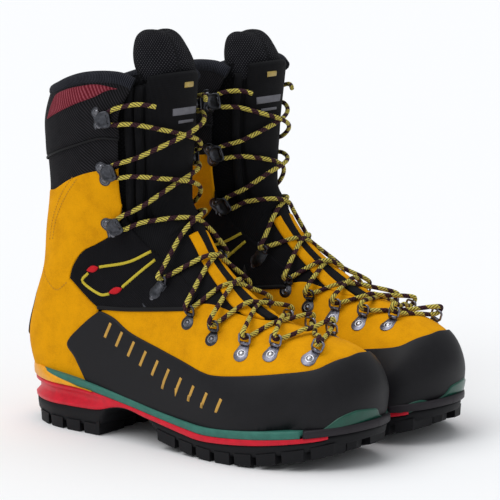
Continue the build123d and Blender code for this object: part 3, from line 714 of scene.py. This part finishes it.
def sole_layer(name, profile, low, top, mat, x_from=-20, x_to=330):
    """Layer of the sole: a profile of (offset, share of the height) swept round the plan."""
    chosen = np.flatnonzero((sole_x >= x_from) & (sole_x <= x_to))
    points, uv = [], []
    for k in chosen:
        for (line, out), order in zip(PLAN, (profile, profile[::-1])):
            for offset, share in order:
                size = offset(line[k][0]) if callable(offset) else offset
                x, y = line[k] + out[k] * size
                points.append((x, y, low(x) + (top(x) - low(x)) * share))
                uv.append((line[k][0], share * 10))
    wide = 2 * len(profile)
    faces = [(r * wide + c, (r + 1) * wide + c, (r + 1) * wide + (c + 1) % wide, r * wide + (c + 1) % wide)
             for r in range(len(chosen) - 1) for c in range(wide)]
    faces.append(tuple(range(wide)))
    faces.append(tuple((len(chosen) - 1) * wide + c for c in reversed(range(wide))))
    return make_object(name, points, faces, mat, uv=uv)


def fade(start, end, size):
    """Offset that grows from nothing at one x to its full size at another."""
    def offset(x):
        share = min(1, max(0, (x - start) / (end - start)))
        return size * share * share * (3 - 2 * share)
    return offset


def welt_split(x):
    """Height where the yellow heel lip ends and the green layer begins on the welt."""
    return np.interp(x, (20, 28, 34, 60, 96), (48, 46, 42.5, 38.0, 29))


def lip_top(x):
    """Upper face of the yellow heel lip, kept between the two faces of the welt."""
    return np.minimum(welt_top(x) + 0.1, np.maximum(welt_low(x) + 0.2, welt_split(x)))


recess = fade(112, 52, -3.6)
red = sole_layer("heel_wedge", [(-3, 0), (-1.2, 0.0), (-0.4, 0.05), (-0.2, 0.2), (recess, 0.4), (recess, 0.7),
                                (-0.2, 0.8), (0, 0.97), (-3, 1)], red_low, welt_low, red_foam, x_to=RED_END)
fit(red, "heel_wedge", slot="midsole_red")
green = sole_layer("midsole", [(-4, 0.0), (-0.6, 0.0), (0, 0.1), (0.3, 0.5), (0.1, 0.85), (-0.6, 1), (-6, 1)],
                   welt_low, welt_top, green_welt, x_from=GREEN_START, x_to=TOE_WELT_START)
fit(green, "midsole", slot="welt_green")
HEEL_LIP = ((-4, 0), (0.4, 0.0), (1.3, 0.12), (1.5, 0.5), (1.2, 0.85), (0.2, 1), (-8, 1))
heel_lip = sole_layer("heel_welt", HEEL_LIP, welt_low, lip_top, yellow_welt, x_to=HEEL_LIP_END)
fit(heel_lip, "heel_welt", slot="welt_yellow")
TOE_LEDGE = ((-4, 0.0), (0.6, 0.0), (1.3, 0.1), (1.5, 0.5), (1.3, 0.88), (0.5, 1), (-8, 1))
toe_ledge = sole_layer("toe_welt", TOE_LEDGE, welt_low, welt_top, grey_welt, x_from=TOE_WELT_START)
fit(toe_ledge, "toe_welt", slot="welt_grey")


def groove_top(x):
    return np.minimum(ground(x) + LUG_DEPTH, red_low(x) - 1.0)


def outsole_top(x):
    return np.where(x > RUBBER_TOE, welt_low(x), red_low(x))


carrier = sole_layer("outsole", [(-6, 0.0), (-3.2, 0.0), (-2.0, 0.2), (-1.4, 0.6), (-1.2, 1), (-6, 1)],
                     groove_top, outsole_top, sole_rubber)
fit(carrier, "outsole", slot="rubber_black")


def prism(points, faces, outline, levels):
    """Adds one lug: its outline at several levels, each with an inset and a height function."""
    outline = np.asarray(outline, float)
    centre = outline.mean(axis=0)
    first = len(points)
    for inset, level in levels:
        away = outline - centre
        reach = np.maximum(np.linalg.norm(away, axis=1, keepdims=True), 1e-6)
        for x, y in centre + away * (1 - inset / reach):
            points.append((x, y, float(level(x))))
    count = len(outline)
    for row in range(len(levels) - 1):
        for c in range(count):
            a, b = first + row * count + c, first + row * count + (c + 1) % count
            faces.append((a, b, b + count, a + count))
    faces.append(tuple(first + c for c in reversed(range(count))))
    faces.append(tuple(first + (len(levels) - 1) * count + c for c in range(count)))


def plan_y(x, side):
    return float(np.interp(x, sole_x, PLAN[side][0][:, 1]))


def lug_middle(x):
    """Line between the two rows of lugs, which leans inwards under the forefoot."""
    return 2 + 5 * min(1, max(0, (x - 120) / 100))


lug_points, lug_faces = [], []
LUG_LEVELS = ((1.1, lambda x: ground(x)), (0.3, lambda x: ground(x) + 0.7),
              (-0.4, lambda x: min(ground(x) + LUG_DEPTH + 2.5, red_low(x) - 0.3)))
SIDE_EDGES = ((1, 14.8), (19.2, 32.8), (37.2, 50.8), (55.2, 68.8), (73.2, 89), (150, 168.8), (173.2, 186.8),
              (191.2, 204.8), (209.2, 222.8), (227.2, 240.8), (245.2, 258.8), (263.2, 276.8), (281.2, 292.8),
              (296.5, 305.5))
for start, end in SIDE_EDGES:
    for side, sign in ((0, -1), (1, 1)):
        rows = np.linspace(start, end, 5)
        outer = [(x, plan_y(x, side) - sign * 1.6) for x in rows]
        inner_y = lug_middle(start) + sign * (11 if start < 100 else 15)
        inner = [(x + 2.5 * (1 if start > 120 else -1), inner_y) for x in (end, start)]
        if (outer[0][1] - inner_y) * sign < 4 or (outer[-1][1] - inner_y) * sign < 4:
            continue
        outline = outer + inner
        prism(lug_points, lug_faces, outline if sign < 0 else outline[::-1], LUG_LEVELS)
for x in (26, 44, 62, 79, 180, 198, 216, 234, 252, 270, 287):
    wide = 8 if x < 100 else 11
    arrow = ((-6, -wide), (5, 2 - wide), (7, 0), (5, wide - 2), (-6, wide), (-4, 0))
    outline = [(x + ahead, lug_middle(x) + beside) for ahead, beside in arrow]
    prism(lug_points, lug_faces, outline, LUG_LEVELS)
fit(make_object("outsole_lugs", lug_points, lug_faces, sole_rubber, flat=True), slot="rubber_black")

# ---- lace ----
PIVOT_UP, LOCK_UP, LOOP_UP, PIVOT_OUT = 7.5, 14.0, 6.5, 2.3
RING_REACH, RING_TILT = 7.5, 45.0
HOOK_TURN = 5.5
WIRE = 0.85
LACE = 1.75
RING_CORNERS = ((-3.15, -3.15), (-3.15, 3.9), (2.0, 3.5))
D_RING_SEATS = (((4.0, -33), (4.6, 26)), ((5.3, -39), (5.6, 36)), ((6.2, -47), (6.6, 43)))
LOOP_SEATS = (((7.4, -51), (7.6, 48)), ((8.4, -54), (8.5, 49)))
LOCK_SEAT = ((9.9, -58), (9.9, 50))
HOOK_SEATS = (((13.6, -64), (13.3, 52)), ((15.9, -70), (15.9, 58)), ((17.6, -72), (17.7, 60)))
ROWS = [(pair, PIVOT_UP, 0.42) for pair in D_RING_SEATS] + [(pair, LOOP_UP, 0.34) for pair in LOOP_SEATS]
ROWS += [(LOCK_SEAT, LOCK_UP, 0.34)] + [(pair, None, 0.13) for pair in HOOK_SEATS]
UNDER, OVER = 2.3, 5.4                  # lift of the lace over the tongue, under and over a crossing
# Hidden end of the lace behind the tongue: place, share of the turn of the last hook, lift.
LACE_END = ((17.95, 0.75, 3.2), (17.9, 0.6, 3.0), (17.8, 0.48, 2.6))
LACE_STEP = 0.8


def seat(place, turn):
    """Point on the leather with its directions: towards the lacing, along the edge, outwards."""
    sign = math.copysign(1, turn)
    here, toward, along = base_surface(np.array(((place, turn), (place, turn - sign), (place + 0.02, turn))))
    x = (toward - here) / np.linalg.norm(toward - here)
    z = np.cross(toward - here, along - here) * -sign
    z /= np.linalg.norm(z)
    return here, x, np.cross(z, x), z


def at_seat(spot_pair, u, v, w):
    here, x, y, z = seat(*spot_pair)
    return here + x * u + y * v + z * w


def lace_corners(row, side):
    """Corners of the lace at one row, from the toe side to the collar side."""
    pair, pivot = ROWS[row][:2]
    if pivot is None:
        up = -math.copysign(HOOK_TURN, pair[side][1])
        return [at_seat(pair[side], -0.4, -up, 3.1), at_seat(pair[side], -0.4, up, 3.1)]
    far = RING_REACH * math.cos(math.radians(RING_TILT))
    return [at_seat(pair[side], pivot + far + x, 0, PIVOT_OUT + far + z) for x, z in RING_CORNERS]


def strand(row, side):
    """Points of the lace over the tongue, from one row to the other side of the next row."""
    start, end = np.array(ROWS[row][0][side], float), np.array(ROWS[row + 1][0][1 - side], float)
    first, last = ROWS[row][2], ROWS[row + 1][2]
    count = 3 if row < 3 else 5
    points = []
    for k in range(count):
        part = first + (1 - first - last) * k / (count - 1)
        hump = (OVER - UNDER) * math.sin(math.pi * (k + 1) / (count + 1)) ** 2 if (row + side) % 2 else 0
        points.append(lifted(start + (end - start) * part, UNDER + hump))
    return points


def lifted(spot_pair, rise):
    """Point of the upper grown by a thickness, one at a time."""
    return surface(np.array([spot_pair]), rise)[0]


def lace_half(side):
    """Lace from the toe row up to its end behind the tongue."""
    points = [*lace_corners(0, side)]
    for row in range(len(ROWS) - 1):
        points += strand(row, side)
        side = 1 - side
        points += lace_corners(row + 1, side)
    turn = ROWS[-1][0][side][1]
    return points + [lifted((place, turn * share), rise) for place, share, rise in LACE_END]


def b_spline(points):
    """Even samples of the quadratic B-spline through a control polygon, from end to end."""
    points = np.asarray(points, float)
    middle = (points[1:] + points[:-1]) / 2
    starts = np.vstack((points[:1], middle[1:-1], points[-1:]))
    curve = []
    f = np.linspace(0, 1, 16, endpoint=False)[:, None]
    for a, b, c in zip(starts, points[1:-1], np.vstack((middle[1:-1], points[-1:]))):
        curve.append((1 - f) ** 2 * a + 2 * f * (1 - f) * b + f**2 * c)
    curve = np.vstack((*curve, points[-1:]))
    run = np.concatenate(([0], np.cumsum(np.linalg.norm(np.diff(curve, axis=0), axis=1))))
    stops = np.linspace(0, run[-1], int(run[-1] / LACE_STEP))
    return np.column_stack([np.interp(stops, run, column) for column in curve.T])


toe_middle = lifted(((D_RING_SEATS[0][0][0] + D_RING_SEATS[0][1][0]) / 2, -3), UNDER)
lace_path = b_spline([*reversed(lace_half(0)), toe_middle, *lace_half(1)])
fit(tube("lace", lace_path, LACE, cord, sides=12), "lace", slot="lace")

# ---- padded tongue top ----
# Sections of the pad: height, middle, half depth and half width.
PAD = ((267, 118, 6, 22), (270, 117.5, 10, 27.5), (275, 116, 13.5, 28.5), (283, 113, 15, 27.5),
       (292, 110, 14.5, 24), (300, 108, 12, 19.5), (304.5, 107.5, 8, 13), (306, 107.5, 3, 5))
LEFT_PAD_DROP = 8.0       # the pad of the left boot is pushed further down
pad_rows = smooth(PAD, 1.6)
pad_points, pad_uv = [], []
PAD_SIDES = 72
for z, x, depth, width in pad_rows:
    for k in range(PAD_SIDES):
        turn = 2 * math.pi * k / PAD_SIDES
        lobe = 1 + 0.05 * math.cos(2 * turn) * max(0, (z - 280) / 26)
        dip = -2.2 * math.exp(-((math.sin(turn) * width - 2) / 7) ** 2) * max(0, (z - 292) / 14)
        pad_points.append((x + depth * lobe * math.copysign(abs(math.cos(turn)) ** 0.8, math.cos(turn)),
                           8 + width * math.copysign(abs(math.sin(turn)) ** 0.9, math.sin(turn)), z + dip))
        pad_uv.append((z, turn * 22))
rows = len(pad_rows)
pad_faces = [(r + k, r + (k + 1) % PAD_SIDES, r + PAD_SIDES + (k + 1) % PAD_SIDES, r + PAD_SIDES + k)
             for r in range(0, (rows - 1) * PAD_SIDES, PAD_SIDES) for k in range(PAD_SIDES)]
pad_faces.append(tuple(reversed(range(PAD_SIDES))))
pad_faces.append(tuple((rows - 1) * PAD_SIDES + k for k in range(PAD_SIDES)))
pad = make_object("tongue_top", pad_points, pad_faces, coarse_mesh, uv=pad_uv)
pad[1].data.transform(Matrix.Translation((0, 0, -LEFT_PAD_DROP / 1000)))
fit(pad, "tongue_top", body="tongue_top", slot="mesh_black")


# ---- trims ----
def ribbon(points, faces, uv, spots, width, rise, foot):
    """Adds a domed strip along spots of the upper; width may change along it."""
    spots = np.asarray(spots, float)
    centre, out = surface(spots, foot), normals(spots)
    heading = np.gradient(centre, axis=0)
    heading /= np.linalg.norm(heading, axis=1, keepdims=True)
    across = np.cross(heading, out)
    width = np.broadcast_to(np.asarray(width, float), (len(spots),))
    first = len(points)
    run = np.concatenate(([0], np.cumsum(np.linalg.norm(np.diff(centre, axis=0), axis=1))))
    profile = ((-0.5, -0.5), (-0.46, 0.55), (-0.25, 0.92), (0, 1.0), (0.25, 0.92), (0.46, 0.55), (0.5, -0.5))
    for k in range(len(spots)):
        for place, share in profile:
            points.append(centre[k] + across[k] * place * width[k] + out[k] * rise * share)
            uv.append((run[k], place * width[k]))
    wide = len(profile)
    for r in range(len(spots) - 1):
        for c in range(wide - 1):
            a = first + r * wide + c
            faces.append((a, a + 1, a + wide + 1, a + wide))
    faces.append(tuple(first + c for c in reversed(range(wide))))
    faces.append(tuple(first + (len(spots) - 1) * wide + c for c in range(wide)))


def trims(name, strips, mat, slot):
    """One object from strips of (spots, width, rise, foot)."""
    points, faces, uv = [], [], []
    for strip in strips:
        ribbon(points, faces, uv, *strip)
    return fit(make_object(name, points, faces, mat, uv=uv), slot=slot)


def both_sides(lines):
    """The same side-view lines on the outer and the inner side."""
    edges = [side_edge(line, -1) for line in lines]
    return edges + [edge * (1, -1) for edge in edges]


EMBROIDERY = (((82, 127.5), (106, 133), (123, 142)), ((72, 122), (67, 115), (83, 107), (92, 108)),
              ((103, 114), (115, 125), (127, 136)))
trims("embroidery", [(edge, 2.2, 0.7, 1.5) for edge in both_sides(EMBROIDERY)], thread_yellow,
      "leather_yellow")
DIAMONDS = (((71, 124), (81, 127)), ((92, 109), (103, 113)))
trims("embroidery_diamonds", [(edge, 5.4 * np.sin(np.linspace(0.15, math.pi - 0.15, len(edge))), 0.8, 1.5)
                              for edge in both_sides(DIAMONDS)], thread_red, "leather_yellow")
PIPING = (((82, 97), (97, 97.5), (112, 98.5), (140, 101.5), (166, 104.5)),)
trims("ankle_piping", [(edge, 3.4, 1.5, 0.9) for edge in both_sides(PIPING)], black_piping, "fabric_black")
trims("collar_seam", [(edge, 1.6, 0.5, 1.5) for edge in both_sides((COLLAR_SEAM,))], black_piping,
      "fabric_collar")

BAR_LINE = side_edge([(94, 81), (118, 70.5), (142, 61), (166, 52.5), (190, 46), (212, 42)], -1, 1.0)
bars = []
for k in range(10):
    x, _, z = base_surface(BAR_LINE[int(k * (len(BAR_LINE) - 1) / 9)][None])[0]
    bars.append((side_edge([(x - 2.4, z - 5.6), (x + 2.4, z + 5.6)], -1, 1.5), 2.6, 0.35, 2.3))
trims("rand_bars", bars, moulded("bar_print", (0.55, 0.30, 0.04), 0.5), "leather_yellow")

FOLDS = (((18.3, -50), (16, -48), (14, -49), (11.9, -45)), ((18.3, -58), (16, -57), (14, -57), (12.2, -53)),
         ((18.3, 44), (14, 42), (11.9, 38)))
trims("tongue_folds", [(spot_edge(line), 6.5, 3.6, -6.0) for line in FOLDS], tongue_black, "fabric_black")

tag_gold = moulded("tag_gold", (0.42, 0.30, 0.07), 0.4)
print_grey = moulded("tongue_print", (0.16, 0.16, 0.18), 0.7, Specular_IOR_Level=0.1)
trims("tongue_tag", [(spot_edge(((18.2, -2), (18.2, 9))), 4.2, 0.5, -3.6)], tag_gold, "fabric_black")
trims("tongue_print", [(spot_edge(((17.5, -15), (17.5, 20))), 5.5, 0.25, -3.7),
                       (spot_edge(((17.15, -8), (17.15, 13))), 2.2, 0.25, -3.7)], print_grey, "fabric_black")


STITCH_PITCH, STITCH_LENGTH, THREAD = 2.6, 1.7, 0.55


def stitches(name, edges, mat, rise, slot):
    """Row of short threads lying in the surface along each edge."""
    points, faces = [], []
    for edge in edges:
        line, out = surface(edge, rise), normals(edge)
        run = np.concatenate(([0], np.cumsum(np.linalg.norm(np.diff(line, axis=0), axis=1))))
        for start in np.arange(0.5, run[-1] - STITCH_LENGTH, STITCH_PITCH):
            ends = [np.array([np.interp(stop, run, column) for column in line.T])
                    for stop in (start, start + STITCH_LENGTH)]
            up = out[min(len(out) - 1, np.searchsorted(run, start))]
            ahead = (ends[1] - ends[0]) / np.linalg.norm(ends[1] - ends[0])
            across = np.cross(ahead, up) * THREAD / 2
            first = len(points)
            for share, height in ((0, -0.2), (0.25, 0.22), (0.75, 0.22), (1, -0.2)):
                spine = ends[0] + (ends[1] - ends[0]) * share + up * height
                points.extend((spine - across, spine + up * THREAD / 2, spine + across))
            for r in range(3):
                for c in range(2):
                    a = first + r * 3 + c
                    faces.append((a, a + 1, a + 4, a + 3))
    fit(make_object(name, points, faces, mat), slot=slot)


CUFF_STITCHES = (((67, 194), (58, 184), (49, 172), (41, 158), (36, 143)),
                 ((63, 195), (54, 186), (45, 174), (37, 159), (32, 143)),
                 ((20, 120), (34, 109), (42, 106), (53, 114)))
stitches("cuff_stitches", both_sides(CUFF_STITCHES), moulded("ochre_thread", (0.5, 0.24, 0.01), 0.8), 1.0,
         "leather_yellow")

ROD_SIDES = 14


# ---- hardware ----
def disc(radius, centre=(0, 0), start=0, end=360, count=24):
    """Points of an arc round a centre, angles in degrees."""
    angles = np.radians(np.linspace(start, end, count, endpoint=end - start < 360))
    return np.column_stack((centre[0] + radius * np.cos(angles), centre[1] + radius * np.sin(angles)))


def layers(outline, levels, slope=0.0, pivot=None):
    """Solid piled up from scaled copies of an outline: levels of (scale, height above the leather)."""
    outline = np.asarray(outline, float)
    middle = outline.mean(axis=0) if pivot is None else np.asarray(pivot, float)
    points = []
    for scale, w in levels:
        for u, v in middle + (outline - middle) * scale:
            points.append((u, v, w - slope * u))
    count = len(outline)
    faces = [tuple(reversed(range(count))), tuple((len(levels) - 1) * count + k for k in range(count))]
    for r in range(len(levels) - 1):
        for k in range(count):
            n = (k + 1) % count
            faces.append((r * count + k, r * count + n, (r + 1) * count + n, (r + 1) * count + k))
    return points, faces


def rod(u, w, radius, half_length):
    """Round rod across the lacing direction."""
    turns = [2 * math.pi * k / ROD_SIDES for k in range(ROD_SIDES)]
    points = [(u + radius * math.cos(turn), v, w + radius * math.sin(turn))
              for v in (-half_length, half_length) for turn in turns]
    faces = [tuple(range(ROD_SIDES)), tuple(reversed(range(ROD_SIDES, 2 * ROD_SIDES)))]
    faces += [(k, k + ROD_SIDES, (k + 1) % ROD_SIDES + ROD_SIDES, (k + 1) % ROD_SIDES)
              for k in range(ROD_SIDES)]
    return points, faces


def mounted(name, spots, solids, mat):
    """One object of small solids repeated at each seat."""
    points, faces = [], []
    for spot_pair in spots:
        here, x, y, z = seat(*spot_pair)
        for local, loops in solids:
            first = len(points)
            points += [here + x * u + y * v + z * w for u, v, w in local]
            faces += [tuple(first + k for k in loop) for loop in loops]
    return make_object(name, points, faces, mat)


def every(pairs):
    """Both seats of each row as one list."""
    return [spot_pair for pair in pairs for spot_pair in pair]


RIVET_LEVELS = ((1.0, 0.3), (1.0, 0.8), (0.9, 1.15), (0.76, 1.15), (0.68, 0.9), (0.6, 1.35), (0.42, 1.8),
                (0.16, 2.05))
HOOK_RIVETS = ((-7.6, -4.9), (-7.6, 4.9))
hook_base = np.vstack((((3.0, -3.6), (3.0, 3.6)), disc(4.5, HOOK_RIVETS[1], 35, 205, 14), ((-10.6, 0),),
                       disc(4.5, HOOK_RIVETS[0], 155, 325, 14)))
lip_half = ((4.6, 0), (4.4, 4.4), (2.8, 6.2), (-1.2, 6.3), (-4.6, 4.8), (-6.0, 2.2), (-6.2, 0))
hook_lip = smooth([*lip_half, *[(u, -v) for u, v in lip_half[-2::-1]]], 1.0)[:-1]
hook_solids = [layers(hook_base, ((1.0, 0.2), (1.0, 0.9), (0.96, 1.1))),
               layers(((1.8, -3.4), (3.2, -3.4), (3.2, 3.4), (1.8, 3.4)), ((1, 0.4), (1, 6.6))),
               layers(hook_lip, ((0.94, 6.0), (1.0, 6.3), (1.0, 6.9), (0.93, 7.4), (0.8, 7.35), (0.72, 6.85),
                                 (0.3, 6.8)), slope=0.16, pivot=(-0.8, 0))]
fit(mounted("hook_plates", every(HOOK_SEATS), hook_solids, dark_steel), "speed_hooks", slot="steel_dark")


def plate_outline(tail, pivot, radius, tip):
    """Plate that narrows from its round tail to the width of its tip at the pivot."""
    return np.vstack((((pivot, -tip), (pivot, tip)), disc(radius, (tail, 0), 62, 298, 22)))


ring_plate = [layers(plate_outline(-1, PIVOT_UP, 5.6, 3.5), ((1.0, 0.2), (1.0, 0.85), (0.95, 1.05))),
              rod(PIVOT_UP, PIVOT_OUT, 1.4, 3.4)]
lock_plate = [layers(plate_outline(-3, LOCK_UP, 7.0, 4.6), ((1.0, 0.2), (1.0, 0.9), (0.95, 1.15))),
              layers(plate_outline(4.5, LOCK_UP, 5.0, 3.6), ((1.0, 1.0), (1.0, 1.7), (0.93, 2.0))),
              rod(LOCK_UP, PIVOT_OUT, 1.4, 3.6)]
loop_plate = [layers(plate_outline(0, LOOP_UP, 5.2, 2.4), ((1.0, 0.2), (1.0, 0.85), (0.95, 1.05))),
              rod(LOOP_UP, PIVOT_OUT, 1.4, 2.4)]
fit(mounted("ring_plates", every(D_RING_SEATS), ring_plate, steel), "plates", slot="steel")
fit(mounted("lock_plates", LOCK_SEAT, lock_plate, dark_steel), slot="steel_dark")
fit(mounted("loop_plates", every(LOOP_SEATS), loop_plate, dark_steel), "loops", slot="steel_dark")
head = [layers(disc(3.5), RIVET_LEVELS, pivot=(0, 0))]
fit(mounted("ring_rivets", every(D_RING_SEATS), head, bright_steel), "rivets", slot="steel")
hook_heads = [layers(disc(3.6, centre), RIVET_LEVELS, pivot=centre) for centre in HOOK_RIVETS]
fit(mounted("hook_rivets", every(HOOK_SEATS), hook_heads, rivet_steel), slot="steel_dark")
fit(mounted("dark_rivets", [*LOCK_SEAT, *every(LOOP_SEATS)], head, rivet_steel), slot="steel_dark")
rise = RING_REACH * math.sin(math.radians(RING_TILT))
wire_half = ((0, 0), (0, 3.2), (0.2, 4.2), (0.75, 4.3), (1.0, 2.6), (1.0, 0))
wire_line = [*wire_half, *[(u, -v) for u, v in wire_half[-2::-1]]]
for number, spot_pair in enumerate(every(LOOP_SEATS), 1):
    loop = [at_seat(spot_pair, LOOP_UP + u * rise, v, PIVOT_OUT + u * rise) for u, v in wire_line]
    fit(tube(f"loop_wire_{number}", smooth(loop, 0.7), WIRE, ring_steel, sides=10), slot="steel_dark")

NODE_LOOKS = {"d_ring": steel, "lock_ring": ring_steel, "insole_board": board_grey, "footbed": felt_grey}
for node_name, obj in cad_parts.items():
    for part, mat in NODE_LOOKS.items():
        if part in node_name:
            obj.material_slots[0].material = mat

# ---- floor, light and camera ----
bpy.ops.mesh.primitive_plane_add(size=60, location=(0, 0, 0))
floor = bpy.context.object
floor.name = "floor"
floor.data.materials.append(shader("floor_paper", (0.93, 0.935, 0.945), 0.9, Specular_IOR_Level=0.0))

world = bpy.data.worlds.new("studio")
world.use_nodes = True
world.node_tree.nodes["Background"].inputs["Color"].default_value = (0.96, 0.98, 1.0, 1)
world.node_tree.nodes["Background"].inputs["Strength"].default_value = 0.49
bpy.context.scene.world = world
bpy.context.scene.view_settings.view_transform = "Standard"


def sun(name, direction, strength, angle):
    """Broad, even light from one direction."""
    light = bpy.data.lights.new(name, "SUN")
    light.energy = strength
    light.angle = math.radians(angle)
    obj = bpy.data.objects.new(name, light)
    obj.rotation_euler = Vector(direction).to_track_quat("Z", "Y").to_euler()
    bpy.context.scene.collection.objects.link(obj)


sun("key", (-0.15, -0.75, 0.85), 0.9, 40)
sun("top", (-0.2, 0.0, 1.0), 1.15, 60)

AZIMUTH, ELEVATION, DISTANCE = math.radians(38.409), math.radians(9.95), 2.03806
TARGET = Vector((0.140 - LENGTH_MIDDLE * MM, 0, 0.120))
back = Vector((math.sin(AZIMUTH) * math.cos(ELEVATION), -math.cos(AZIMUTH) * math.cos(ELEVATION),
               math.sin(ELEVATION)))
camera = bpy.data.cameras.new("camera")
camera.sensor_width = 36
camera.lens = 191.7
camera.shift_x, camera.shift_y = 0.0266, 0.0368
camera.clip_end = 100
camera_object = bpy.data.objects.new("camera", camera)
camera_object.location = TARGET + back * DISTANCE
camera_object.rotation_euler = (-back).to_track_quat("-Z", "Y").to_euler()
bpy.context.scene.collection.objects.link(camera_object)
bpy.context.scene.camera = camera_object
